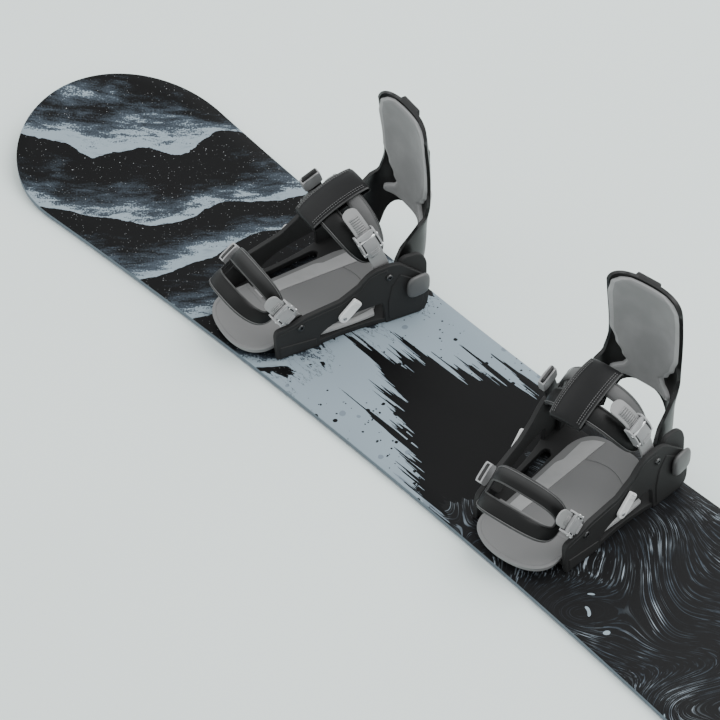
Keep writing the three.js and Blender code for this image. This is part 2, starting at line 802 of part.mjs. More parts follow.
function toeParts() {
  const curve = new ArchCurve(TOE.halfWidth, TOE.crown, TOE.power);
  const arch = curve.getLength();
  const pad = wrapped(curve, TOE);
  const ring = { centre: arch / 2, halfRun: arch / 2 - 30, halfWidth: 24, power: 3, band: 13, thick: 3, shift: -9 };
  const right = wrappedSide(strapLine(1, [55.5, -6], [74.5, 60], [47, 84]), TOE, 1);
  const left = wrappedSide(strapLine(-1, [55.5, -6], [73, 56], [50, 80]), TOE, -1);
  return {
    strap: geometryOf(padRing(pad, ring)),
    ladder: ladder(right, 0, 76),
    buckle: channel(right, 30, 56, LADDER_WIDTH),
    lever: geometryOf(alongStrap(right, box2(20.4, 3.2, 6.4), 28, 52, 4)),
    link: geometryOf(alongStrap(left, box2(22, -1.6, 1.6), 0, 68, 8)),
  };
}

// ---- side levers ----

/** Rounded lever that lies on a rail, pivoting at its lower end. */
function sideLever() {
  const shape = new THREE.Shape();
  shape.absarc(0, 0, 7, Math.PI * 0.5, Math.PI * 1.5);
  shape.lineTo(25, -7.5);
  shape.lineTo(28, -4);
  shape.lineTo(28, 7);
  shape.closePath();
  return closed(slab(shape, 0, 5.5, 8));
}

function placedLever(side) {
  const pivot = new THREE.Vector3(0, 1, 36);
  pivot.x = side * (railFace(pivot.y, pivot.z) + 1.2);
  const outward = new THREE.Vector3(side, -RAIL_SPLAY, RAIL_LEAN).normalize();
  const along = new THREE.Vector3(0, Math.cos(42 * RAD), Math.sin(42 * RAD));
  along.addScaledVector(outward, -along.dot(outward)).normalize();
  const third = new THREE.Vector3().crossVectors(outward, along);
  const geometry = sideLever();
  reshape(geometry, (v) => new THREE.Vector3()
    .addScaledVector(along, v.x)
    .addScaledVector(third, v.y)
    .addScaledVector(outward, v.z));
  const mesh = new THREE.Mesh(geometryOf(solid(geometry)), FINISH.white());
  mesh.position.copy(pivot);
  return mesh;
}

// ---- one binding ----

function binding(stance) {
  const group = new THREE.Group();
  group.position.set(stance.x, stance.y, BOARD_THICKNESS);
  const fixed = new THREE.Group();
  fixed.position.copy(group.position);
  group.rotation.z = stance.angle * RAD;
  const add = (name, geometry, material) => group.add(named(`${stance.name}_${name}`, geometry, material));
  fixed.add(named(`${stance.name}_mounting_disc`, mountingDisc(), FINISH.shell()));
  fixed.add(named(`${stance.name}_disc_screws`, discScrews(), FINISH.screw()));
  add("baseplate", baseplate(), FINISH.shell());
  add("footbed", footbed(), FINISH.grey());
  add("toe_ramp", toeRamp(), FINISH.grey());
  add("highback", highback(), FINISH.shell());
  add("highback_pad", highbackPad(), FINISH.grey());
  add("lean_block", leanBlock(), FINISH.strap());
  add("lean_lever", leanLever(), FINISH.white());
  for (const [word, side] of [["right", 1], ["left", -1]]) {
    add(`heel_side_${word}`, heelSide(side), FINISH.shell());
    add(`hinge_bolt_${word}`, hingeBolt(side), FINISH.grey());
    const lever = placedLever(side);
    lever.name = `${stance.name}_side_lever_${word}`;
    group.add(lever);
  }
  const ankle = ankleParts();
  add("ankle_strap", ankle.strap, FINISH.strap());
  add("ankle_sleeve", ankle.sleeve, FINISH.strap());
  add("ankle_ladder", ankle.ladder, FINISH.buckle());
  add("ankle_buckle", ankle.buckle, FINISH.buckle());
  add("ankle_buckle_lever", ankle.lever, FINISH.buckle());
  add("ankle_link", ankle.link, FINISH.strap());
  add("ankle_link_clip", ankle.clip, FINISH.buckle());
  const toe = toeParts();
  add("toe_strap", toe.strap, FINISH.strap());
  add("toe_ladder", toe.ladder, FINISH.buckle());
  add("toe_buckle", toe.buckle, FINISH.buckle());
  add("toe_buckle_lever", toe.lever, FINISH.buckle());
  add("toe_link", toe.link, FINISH.strap());
  const both = new THREE.Group();
  both.add(fixed, group);
  return both;
}

const snowboard = new THREE.Group();
snowboard.add(board());
for (const stance of STANCES) {
  snowboard.add(binding(stance));
}

export default snowboard;
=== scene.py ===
"""A snowboard with a pair of strap bindings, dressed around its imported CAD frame.

Lengths inside the classes are millimetres in the frame of the board or of one binding, and meshes are
made in metres.  A binding's own frame has its origin on the deck at the centre of the mounting disc,
+X to the tail side, +Y to the heel and +Z up.
"""

import bisect
import json
import logging
import math
from collections.abc import Callable, Iterable, Sequence
from dataclasses import dataclass, field
from enum import Enum

import bmesh
import bpy
from mathutils import Matrix, Vector


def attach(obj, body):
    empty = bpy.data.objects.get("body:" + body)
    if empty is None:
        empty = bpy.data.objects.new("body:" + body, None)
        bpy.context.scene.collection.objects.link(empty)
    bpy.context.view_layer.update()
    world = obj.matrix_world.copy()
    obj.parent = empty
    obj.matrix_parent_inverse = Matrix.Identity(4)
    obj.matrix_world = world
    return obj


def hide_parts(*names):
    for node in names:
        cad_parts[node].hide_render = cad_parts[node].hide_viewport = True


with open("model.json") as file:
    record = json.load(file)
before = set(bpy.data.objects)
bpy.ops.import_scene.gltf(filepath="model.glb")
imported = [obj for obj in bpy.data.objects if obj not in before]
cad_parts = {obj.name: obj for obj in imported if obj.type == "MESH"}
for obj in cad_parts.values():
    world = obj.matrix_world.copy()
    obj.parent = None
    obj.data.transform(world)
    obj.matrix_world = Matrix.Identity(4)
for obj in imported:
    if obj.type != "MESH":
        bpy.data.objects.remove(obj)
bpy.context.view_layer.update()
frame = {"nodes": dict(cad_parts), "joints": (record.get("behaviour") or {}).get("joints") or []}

log = logging.getLogger("snowboard")

MM = 0.001
FILLING_STEPS = 20
Point2 = tuple[float, float]
Point3 = tuple[float, float, float]
Place = Callable[[float, float, float], Point3]


# ---------------------------------------------------------------- small sums


def smoothstep(low: float, high: float, x: float) -> float:
    """A smooth rise from 0 at low to 1 at high."""
    t = min(max((x - low) / (high - low), 0.0), 1.0)
    return t * t * (3 - 2 * t)


def lerp(a: float, b: float, t: float) -> float:
    """The value a share t of the way from a to b."""
    return a + (b - a) * t


def power(x: float, exponent: float) -> float:
    """A signed power, as a superellipse needs."""
    return math.copysign(abs(x) ** exponent, x)


def through(knots: Sequence[Point2], x: float) -> float:
    """A smooth curve through knots of (x, value), level beyond the ends.

    Args:
        knots: Pairs in rising order of x.
        x: Where to read the curve.

    Returns:
        The value there.
    """
    if x <= knots[0][0]:
        return knots[0][1]
    for (xa, va), (xb, vb) in zip(knots, knots[1:]):
        if x <= xb:
            return lerp(va, vb, smoothstep(xa, xb, x))
    return knots[-1][1]


# ---------------------------------------------------------------- outlines and meshes


@dataclass
class Outline:
    """A closed flat outline, drawn from point to point with lines and curves."""

    points: list[Point2]
    steps: int = 8

    def line(self, x: float, y: float) -> "Outline":
        """Draw a straight stretch to a point."""
        self.points.append((x, y))
        return self

    def bend(self, cx: float, cy: float, x: float, y: float) -> "Outline":
        """Draw a curve to a point, pulled towards one control point.

        Args:
            cx: X of the control point.
            cy: Y of the control point.
            x: X of the end.
            y: Y of the end.

        Returns:
            The outline itself, to draw on.
        """
        ax, ay = self.points[-1]
        for i in range(1, self.steps + 1):
            t = i / self.steps
            a, b, c = (1 - t) ** 2, 2 * t * (1 - t), t * t
            self.points.append((a * ax + b * cx + c * x, a * ay + b * cy + c * y))
        return self

    def inset(self, amount: float) -> list[Point2]:
        """The outline drawn in by an amount, for an outline that runs anticlockwise.

        Args:
            amount: How far in.

        Returns:
            The points of the new outline.
        """
        drawn = []
        count = len(self.points)
        for i, (x, y) in enumerate(self.points):
            ax, ay = self.points[i - 1]
            bx, by = self.points[(i + 1) % count]
            run = math.hypot(bx - ax, by - ay) or 1.0
            drawn.append((x - amount * (by - ay) / run, y + amount * (bx - ax) / run))
        return drawn


@dataclass
class Draft:
    """Corners and faces of a piece in the making, in millimetres."""

    verts: list[Point3] = field(default_factory=list)
    faces: list[tuple[int, ...]] = field(default_factory=list)
    band: list[float] = field(default_factory=list)

    def add(self, other: "Draft") -> "Draft":
        """Take in another draft as a loose part of this one.

        Args:
            other: The draft to take in.

        Returns:
            This draft.
        """
        first = len(self.verts)
        self.verts += other.verts
        self.faces += [tuple(i + first for i in f) for f in other.faces]
        return self

    def moved(self, move: Callable[[Point3], Point3]) -> "Draft":
        """A copy with every corner moved."""
        return Draft([tuple(move(v)) for v in self.verts], list(self.faces), list(self.band))

    def banded(self, share: Callable[[Point3], float]) -> "Draft":
        """A copy with its second colour's share set at every corner."""
        return Draft(self.verts, self.faces, [share(v) for v in self.verts])


def grid(rows: int, columns: int, at: Callable[[float, float], Point3], wrap_rows: bool = False,
         wrap_columns: bool = False) -> Draft:
    """A sheet of four-sided faces.

    Args:
        rows: Number of faces along the first parameter.
        columns: Number of faces along the second parameter.
        at: Place of the point at two parameters from 0 to 1.
        wrap_rows: Join the last row to the first.
        wrap_columns: Join the last column to the first.

    Returns:
        The sheet as a draft.
    """
    high = rows if wrap_rows else rows + 1
    wide = columns if wrap_columns else columns + 1
    verts = [at(i / rows, j / columns) for i in range(high) for j in range(wide)]
    faces = []
    for i in range(rows):
        for j in range(columns):
            a, b = i * wide, ((i + 1) % high) * wide
            k = (j + 1) % wide
            faces.append((a + j, a + k, b + k, b + j))
    return Draft(verts, faces)


def stack(rings: Sequence[Sequence[Point3]]) -> Draft:
    """Rings of equally many points, joined in order and closed with a face at each end.

    Args:
        rings: The rings, in order.

    Returns:
        The closed form.
    """
    count = len(rings[0])
    verts = [p for ring in rings for p in ring]
    faces = [tuple(reversed(range(count)))]
    for r in range(len(rings) - 1):
        for k in range(count):
            a, b = r * count + k, r * count + (k + 1) % count
            faces.append((a, b, b + count, a + count))
    faces.append(tuple(range((len(rings) - 1) * count, len(rings) * count)))
    return Draft(verts, faces)


def skin(rows: int, columns: int, at: Place) -> Draft:
    """A closed plate between two matching sheets.

    Args:
        rows: Number of faces along the first parameter.
        columns: Number of faces along the second parameter.
        at: Place of the point at two parameters from 0 to 1, on the first sheet at 0 and the other at 1.

    Returns:
        The plate as a draft.
    """
    made = grid(rows, columns, lambda u, v: at(u, v, 0.0))
    made.add(grid(rows, columns, lambda u, v: at(u, v, 1.0)))
    wide = columns + 1
    other = (rows + 1) * wide
    border = [j for j in range(columns)]
    border += [i * wide + columns for i in range(rows)]
    border += [rows * wide + j for j in range(columns, 0, -1)]
    border += [i * wide for i in range(rows, 0, -1)]
    for k, a in enumerate(border):
        b = border[(k + 1) % len(border)]
        made.faces.append((a, b, b + other, a + other))
    return made


def slab(points: Sequence[Point2], low: float, high: float) -> Draft:
    """An outline in X and Y, raised from one height to another."""
    return stack([[(x, y, z) for x, y in points] for z in (low, high)])


def side_slab(points: Sequence[Point2], inner: float, outer: float) -> Draft:
    """An outline in Y and Z, thick from one X to another."""
    return stack([[(x, y, z) for y, z in points] for x in (inner, outer)])


def back_slab(points: Sequence[Point2], front: float, back: float) -> Draft:
    """An outline in X and Z, thick from one Y to another."""
    return stack([[(x, y, z) for x, z in points] for y in (front, back)])


def block(low: Point3, high: Point3) -> Draft:
    """A box between two corners."""
    (x0, y0, z0), (x1, y1, z1) = low, high
    return stack([[(x, y, z) for y, z in ((y0, z0), (y1, z0), (y1, z1), (y0, z1))] for x in (x0, x1)])


def turned(profile: Sequence[Point2], sides: int = 28, squareness: float = 2.0) -> Draft:
    """A profile of (radius, height) turned about Z; squareness above 2 makes it a rounded square.

    Args:
        profile: The profile, from the bottom up.
        sides: Number of sides.
        squareness: 2 for round, more for squarer.

    Returns:
        The closed form.
    """
    rings = []
    for r, z in profile:
        ring = []
        for k in range(sides):
            c, s = math.cos(math.tau * k / sides), math.sin(math.tau * k / sides)
            ring.append((r * power(c, 2 / squareness), r * power(s, 2 / squareness), z))
        rings.append(ring)
    return stack(rings)


def tube(points: Sequence[Point3], radius: float, sides: int = 8, closed: bool = True) -> Draft:
    """A round cord along a row of points, closed into a loop or capped at both ends.

    Args:
        points: The row of points.
        radius: Radius of the cord.
        sides: Number of sides.
        closed: Whether the cord is a loop.

    Returns:
        The cord.
    """
    line = [Vector(p) for p in points]
    count = len(line)
    rings = []
    for i, here in enumerate(line):
        before = line[i - 1] if closed or i else here
        after = line[(i + 1) % count] if closed or i < count - 1 else here
        along = (after - before).normalized()
        side = along.cross(Vector((0.13, 0.21, 1.0))).normalized()
        up = side.cross(along)
        rings.append([tuple(here + radius * (math.cos(a) * side + math.sin(a) * up))
                      for a in (math.tau * k / sides for k in range(sides))])
    draft = stack(rings)
    if closed:
        draft.faces = draft.faces[1:-1]
        last = (count - 1) * sides
        draft.faces += [(last + k, last + (k + 1) % sides, (k + 1) % sides, k) for k in range(sides)]
    return draft


def stitches(points: Sequence[Point3], length: float, pitch: float, radius: float) -> Draft:
    """Short threads laid end to end along a row of points.

    Args:
        points: The seam, as closely spaced points.
        length: Length of one thread.
        pitch: Distance from one thread to the next.
        radius: Radius of the thread.

    Returns:
        All the threads as one draft.
    """
    made = Draft()
    walked = 0.0
    due = pitch / 2
    for a, b in zip(points, points[1:]):
        va, vb = Vector(a), Vector(b)
        span = (vb - va).length
        while span > 0 and due <= walked + span:
            along = (vb - va) / span
            middle = va + along * (due - walked)
            ends = [middle + along * (length * k) for k in (-0.5, -0.25, 0.25, 0.5)]
            made.add(tube([tuple(p) for p in ends], radius, 5, closed=False))
            due += pitch
        walked += span
    return made


def mesh_of(name: str, draft: Draft, smooth: bool = True) -> bpy.types.Mesh:
    """A Blender mesh from a draft, in metres, with its faces turned outward.

    Args:
        name: Name of the mesh.
        draft: What to make it from.
        smooth: Whether its faces are shaded smooth.

    Returns:
        The mesh.
    """
    mesh = bpy.data.meshes.new(name)
    mesh.from_pydata([(x * MM, y * MM, z * MM) for x, y, z in draft.verts], [], draft.faces)
    mesh.update()
    if draft.band:
        mesh.attributes.new("band", "FLOAT", "POINT").data.foreach_set("value", draft.band)
    bm = bmesh.new()
    bm.from_mesh(mesh)
    bmesh.ops.remove_doubles(bm, verts=bm.verts, dist=1e-7)
    bmesh.ops.recalc_face_normals(bm, faces=bm.faces)
    bm.to_mesh(mesh)
    bm.free()
    mesh.polygons.foreach_set("use_smooth", [smooth] * len(mesh.polygons))
    return mesh


# ---------------------------------------------------------------- shader graphs

Socket = bpy.types.NodeSocket
Value = Socket | float | Sequence[float]


def linear(red: int, green: int, blue: int) -> tuple[float, float, float, float]:
    """A shader colour from eight-bit display values."""
    parts = [c / 255 for c in (red, green, blue)]
    return (*[c / 12.92 if c <= 0.04045 else ((c + 0.055) / 1.055) ** 2.4 for c in parts], 1.0)


@dataclass
class Graph:
    """Nodes of one tree, with short calls for the usual ones."""

    tree: bpy.types.NodeTree

    def add(self, kind: str, feeds: dict[str | int, Value] | None = None,
            **settings: object) -> bpy.types.Node:
        """Add a node, set its options and feed its sockets with values or links.

        Args:
            kind: The node's type.
            feeds: Values or links by socket.
            settings: The node's options.

        Returns:
            The node.
        """
        node = self.tree.nodes.new(kind)
        for key, value in settings.items():
            setattr(node, key, value)
        for key, value in (feeds or {}).items():
            self.feed(node.inputs[key], value)
        return node

    def feed(self, socket: Socket, value: Value) -> None:
        """Link a socket, or set its own value.

        Args:
            socket: The input to feed.
            value: A link or a plain value.
        """
        if isinstance(value, bpy.types.NodeSocket):
            self.tree.links.new(value, socket)
        else:
            socket.default_value = value

    def math(self, operation: str, a: Value, b: Value = 0.0, clamp: bool = False) -> Socket:
        """One sum of two values."""
        return self.add("ShaderNodeMath", {0: a, 1: b}, operation=operation, use_clamp=clamp).outputs[0]

    def ramp(self, value: Value, low: Value, high: Value, start: Value = 0.0, end: Value = 1.0) -> Socket:
        """A smooth change from start to end as value goes from low to high."""
        feeds = {"Value": value, "From Min": low, "From Max": high, "To Min": start, "To Max": end}
        return self.add("ShaderNodeMapRange", feeds, interpolation_type="SMOOTHSTEP").outputs[0]

    def mix(self, share: Value, a: Value, b: Value) -> Socket:
        """One colour over another."""
        return self.add("ShaderNodeMix", {0: share, 6: a, 7: b}, data_type="RGBA").outputs[2]

    def scaled(self, vector: Value, factors: Sequence[float]) -> Socket:
        """A place stretched along its axes."""
        return self.add("ShaderNodeVectorMath", {0: vector, 1: factors}, operation="MULTIPLY").outputs[0]

    def noise(self, vector: Value, scale: Value, detail: float = 2.0, roughness: float = 0.5,
              distortion: float = 0.0) -> Socket:
        """Soft noise from about 0.25 to 0.75.

        Args:
            vector: Where to read it.
            scale: How fine it is.
            detail: How many layers it has.
            roughness: How strong the fine layers are.
            distortion: How much it is stirred.

        Returns:
            The noise.
        """
        feeds = {"Vector": vector, "Scale": scale, "Detail": detail, "Roughness": roughness,
                 "Distortion": distortion}
        return self.add("ShaderNodeTexNoise", feeds).outputs[0]

    def cells(self, vector: Value, scale: Value) -> bpy.types.Node:
        """Round cells, with the distance to each centre and a colour for each."""
        return self.add("ShaderNodeTexVoronoi", {"Vector": vector, "Scale": scale, "Randomness": 1.0})

    def here(self) -> Socket:
        """The place on the piece, in metres."""
        return self.add("ShaderNodeTexCoord").outputs["Object"]

    def split(self, vector: Value) -> tuple[Socket, Socket, Socket]:
        """The three parts of a place."""
        node = self.add("ShaderNodeSeparateXYZ", {0: vector})
        return node.outputs[0], node.outputs[1], node.outputs[2]

    def bump(self, height: Value, strength: float, distance: float, normal: Socket | None = None) -> Socket:
        """A normal raised by a height.

        Args:
            height: The height.
            strength: How strong the bump is.
            distance: How tall it is, in metres.
            normal: A normal to build on.

        Returns:
            The new normal.
        """
        feeds: dict[str | int, Value] = {"Height": height, "Strength": strength, "Distance": distance}
        if normal is not None:
            feeds["Normal"] = normal
        return self.add("ShaderNodeBump", feeds).outputs[0]


def shared(name: str, takes: dict[str, Value], gives: dict[str, str],
           fill: Callable[[Graph, dict[str, Socket]], dict[str, Socket]]) -> bpy.types.NodeTree:
    """A shader node group, made the first time it is asked for.

    Args:
        name: Name of the group.
        takes: Input names with their usual values.
        gives: Output names with their socket types.
        fill: Builds the inside from the inputs and returns the outputs.

    Returns:
        The group's tree.
    """
    known = bpy.data.node_groups.get(name)
    if known:
        return known
    tree = bpy.data.node_groups.new(name, "ShaderNodeTree")
    for key, value in takes.items():
        kind = "NodeSocketFloat" if isinstance(value, float) else "NodeSocketColor"
        socket = tree.interface.new_socket(key, in_out="INPUT", socket_type=kind)
        socket.default_value = value
    for key, kind in gives.items():
        tree.interface.new_socket(key, in_out="OUTPUT", socket_type=kind)
    graph = Graph(tree)
    entry = tree.nodes.new("NodeGroupInput")
    leave = tree.nodes.new("NodeGroupOutput")
    made = fill(graph, {key: entry.outputs[key] for key in takes})
    for key, socket in made.items():
        tree.links.new(socket, leave.inputs[key])
    return tree


def grain_group() -> bpy.types.NodeTree:
    """Fine moulded or sprayed grain: a height, and a tone that drifts over the surface.

    Returns:
        The group's tree.
    """

    def fill(g: Graph, take: dict[str, Socket]) -> dict[str, Socket]:
        """Fine noise for the height and broad noise for the tone.

        Args:
            g: The graph to draw in.
            take: The group's inputs.

        Returns:
            Its outputs.
        """
        place = g.here()
        fine = g.noise(place, take["Grain scale"], 3.0, 0.6)
        broad = g.noise(place, take["Cloud scale"], 3.0, 0.55)
        share = g.math("MULTIPLY", g.ramp(broad, 0.3, 0.7, -1.0, 1.0), take["Cloud amount"])
        return {"Height": fine, "Tone": g.math("ADD", share, 1.0)}

    takes = {"Grain scale": 900.0, "Cloud scale": 18.0, "Cloud amount": 0.08}
    return shared("Moulded grain", takes, {"Height": "NodeSocketFloat", "Tone": "NodeSocketFloat"}, fill)


def wear_group() -> bpy.types.NodeTree:
    """Rubbed edges: a colour that lightens where the surface turns sharply, and the mask of it.

    Returns:
        The group's tree.
    """

    def fill(g: Graph, take: dict[str, Socket]) -> dict[str, Socket]:
        """Sharpness of the surface, broken up by noise.

        Args:
            g: The graph to draw in.
            take: The group's inputs.

        Returns:
            Its outputs.
        """
        sharp = g.add("ShaderNodeNewGeometry").outputs["Pointiness"]
        edge = g.ramp(sharp, take["Start"], take["Full"])
        patchy = g.ramp(g.noise(g.here(), 70.0, 4.0, 0.6), 0.3, 0.65, 0.35, 1.0)
        mask = g.math("MULTIPLY", g.math("MULTIPLY", edge, patchy), take["Amount"], clamp=True)
        return {"Color": g.mix(mask, take["Color"], take["Worn color"]), "Mask": mask}

    takes = {"Color": (0.02, 0.02, 0.02, 1.0), "Worn color": (0.12, 0.12, 0.12, 1.0), "Start": 0.51,
             "Full": 0.58, "Amount": 0.5}
    return shared("Rubbed edges", takes, {"Color": "NodeSocketColor", "Mask": "NodeSocketFloat"}, fill)


def weave_group() -> bpy.types.NodeTree:
    """Plain weave: threads that cross over and under, as a height and a tone.

    Returns:
        The group's tree.
    """

    def fill(g: Graph, take: dict[str, Socket]) -> dict[str, Socket]:
        """Two crossed sets of round threads in the plane that the piece mostly lies in.

        Args:
            g: The graph to draw in.
            take: The group's inputs.

        Returns:
            Its outputs.
        """
        x, y, z = g.split(g.here())
        slant = g.math("ADD", y, z)
        warp = g.math("SINE", g.math("MULTIPLY", x, take["Threads"]))
        weft = g.math("SINE", g.math("MULTIPLY", slant, take["Threads"]))
        over = g.math("MULTIPLY", warp, weft)
        uneven = g.noise(g.here(), 260.0, 2.0)
        height = g.math("ADD", g.math("MULTIPLY", over, 0.35), uneven)
        return {"Height": height, "Tone": g.ramp(over, -1.0, 1.0, 0.82, 1.12)}

    takes = {"Threads": 5200.0}
    return shared("Woven cloth", takes, {"Height": "NodeSocketFloat", "Tone": "NodeSocketFloat"}, fill)


def dust_group() -> bpy.types.NodeTree:
    """Fine dust that lies on what faces up: a colour and a mask.

    Returns:
        The group's tree.
    """

    def fill(g: Graph, take: dict[str, Socket]) -> dict[str, Socket]:
        """Upward faces, thinned by noise.

        Args:
            g: The graph to draw in.
            take: The group's inputs.

        Returns:
            Its outputs.
        """
        _, _, up = g.split(g.add("ShaderNodeNewGeometry").outputs["Normal"])
        lying = g.ramp(up, 0.2, 1.0)
        specks = g.ramp(g.noise(g.here(), 45.0, 5.0, 0.65), 0.42, 0.75)
        mask = g.math("MULTIPLY", g.math("MULTIPLY", lying, specks), take["Amount"], clamp=True)
        return {"Color": g.mix(mask, take["Color"], take["Dust color"]), "Mask": mask}

    takes = {"Color": (0.02, 0.02, 0.02, 1.0), "Dust color": (0.42, 0.43, 0.44, 1.0), "Amount": 0.08}
    return shared("Lying dust", takes, {"Color": "NodeSocketColor", "Mask": "NodeSocketFloat"}, fill)


def new_material(name: str) -> tuple[bpy.types.Material, Graph, bpy.types.Node]:
    """An empty node material with its Principled shader.

    Args:
        name: Name of the material.

    Returns:
        The material, its graph and its shader.
    """
    material = bpy.data.materials.new(name)
    material.use_nodes = True
    graph = Graph(material.node_tree)
    return material, graph, material.node_tree.nodes["Principled BSDF"]


def tinted(g: Graph, color: Value, tone: Value) -> Socket:
    """A colour made lighter or darker by a tone near 1.

    Args:
        g: The graph to draw in.
        color: The colour.
        tone: The tone.

    Returns:
        The toned colour.
    """
    grey = g.add("ShaderNodeCombineColor", {0: tone, 1: tone, 2: tone}).outputs[0]
    node = g.add("ShaderNodeMix", {0: 1.0, 6: color, 7: grey}, data_type="RGBA", blend_type="MULTIPLY")
    return node.outputs[2]


@dataclass(frozen=True)
class Moulded:
    """Moulded plastic or rubber with grain, rubbed edges and a little dust."""

    name: str
    color: tuple[float, float, float, float]
    worn: tuple[float, float, float, float]
    roughness: float = 0.45
    grain: float = 0.12
    grain_scale: float = 900.0
    wear: float = 0.5
    dust: float = 0.05
    specular: float = 0.5

    def material(self) -> bpy.types.Material:
        """Build the material, or find it where it is already built.

        Returns:
            The material.
        """
        known = bpy.data.materials.get(self.name)
        if known:
            return known
        material, g, shader = new_material(self.name)
        grain = g.add("ShaderNodeGroup", node_tree=grain_group())
        g.feed(grain.inputs["Grain scale"], self.grain_scale)
        wear = g.add("ShaderNodeGroup", node_tree=wear_group())
        g.feed(wear.inputs["Color"], tinted(g, self.color, grain.outputs["Tone"]))
        g.feed(wear.inputs["Worn color"], self.worn)
        g.feed(wear.inputs["Amount"], self.wear)
        dust = g.add("ShaderNodeGroup", node_tree=dust_group())
        g.feed(dust.inputs["Color"], wear.outputs["Color"])
        g.feed(dust.inputs["Amount"], self.dust)
        g.feed(shader.inputs["Base Color"], dust.outputs["Color"])
        polish = g.ramp(grain.outputs["Tone"], 0.9, 1.1, self.roughness - 0.04, self.roughness + 0.05)
        dull = g.math("ADD", polish, g.math("MULTIPLY", dust.outputs["Mask"], 0.6))
        rubbed = g.math("MULTIPLY", wear.outputs["Mask"], 0.12)
        g.feed(shader.inputs["Roughness"], g.math("SUBTRACT", dull, rubbed))
        g.feed(shader.inputs["Normal"], g.bump(grain.outputs["Height"], self.grain, 0.0004))
        shader.inputs["Specular IOR Level"].default_value = self.specular
        return material


@dataclass(frozen=True)
class Woven:
    """Padded cloth or webbing with a visible weave and a soft sheen."""

    name: str
    color: tuple[float, float, float, float]
    threads: float = 5200.0
    roughness: float = 0.75
    depth: float = 0.25
    sheen: float = 0.2
    specular: float = 0.25
    second: tuple[float, float, float, float] | None = None

    def material(self) -> bpy.types.Material:
        """Build the material, or find it where it is already built.

        A second colour shows where the piece's "band" attribute is near 1.

        Returns:
            The material.
        """
        known = bpy.data.materials.get(self.name)
        if known:
            return known
        material, g, shader = new_material(self.name)
        weave = g.add("ShaderNodeGroup", node_tree=weave_group())
        g.feed(weave.inputs["Threads"], self.threads)
        grain = g.add("ShaderNodeGroup", node_tree=grain_group())
        g.feed(grain.inputs["Grain scale"], 420.0)
        g.feed(grain.inputs["Cloud amount"], 0.14)
        color: Value = self.color
        if self.second is not None:
            band = g.add("ShaderNodeAttribute", attribute_name="band").outputs["Fac"]
            color = g.mix(g.ramp(band, 0.42, 0.6), self.color, self.second)
        toned = tinted(g, tinted(g, color, weave.outputs["Tone"]), grain.outputs["Tone"])
        g.feed(shader.inputs["Base Color"], toned)
        g.feed(shader.inputs["Roughness"], g.ramp(weave.outputs["Tone"], 0.8, 1.1, self.roughness + 0.08,
                                                 self.roughness - 0.05))
        soft = g.bump(grain.outputs["Height"], 0.15, 0.0006)
        g.feed(shader.inputs["Normal"], g.bump(weave.outputs["Height"], self.depth, 0.0003, soft))
        shader.inputs["Sheen Weight"].default_value = self.sheen
        shader.inputs["Specular IOR Level"].default_value = self.specular
        shader.inputs["Sheen Roughness"].default_value = 0.4
        return material


@dataclass(frozen=True)
class Metal:
    """Satin or ground metal with fine scratches along X."""

    name: str
    color: tuple[float, float, float, float]
    roughness: float = 0.35
    scratches: float = 0.2

    def material(self) -> bpy.types.Material:
        """Build the material, or find it where it is already built.

        Returns:
            The material.
        """
        known = bpy.data.materials.get(self.name)
        if known:
            return known
        material, g, shader = new_material(self.name)
        place = g.here()
        lines = g.noise(g.scaled(place, (40.0, 1600.0, 1600.0)), 1.0, 3.0, 0.6)
        smudge = g.noise(place, 30.0, 3.0, 0.6)
        wear = g.add("ShaderNodeGroup", node_tree=wear_group())
        g.feed(wear.inputs["Color"], tinted(g, self.color, g.ramp(smudge, 0.3, 0.7, 0.86, 1.08)))
        g.feed(wear.inputs["Worn color"], (0.8, 0.8, 0.8, 1.0))
        g.feed(wear.inputs["Amount"], 0.4)
        g.feed(shader.inputs["Base Color"], wear.outputs["Color"])
        polish = g.ramp(lines, 0.3, 0.7, self.roughness - 0.08, self.roughness + 0.1)
        g.feed(shader.inputs["Roughness"], polish)
        g.feed(shader.inputs["Normal"], g.bump(lines, self.scratches, 0.0001))
        shader.inputs["Metallic"].default_value = 1.0
        return material


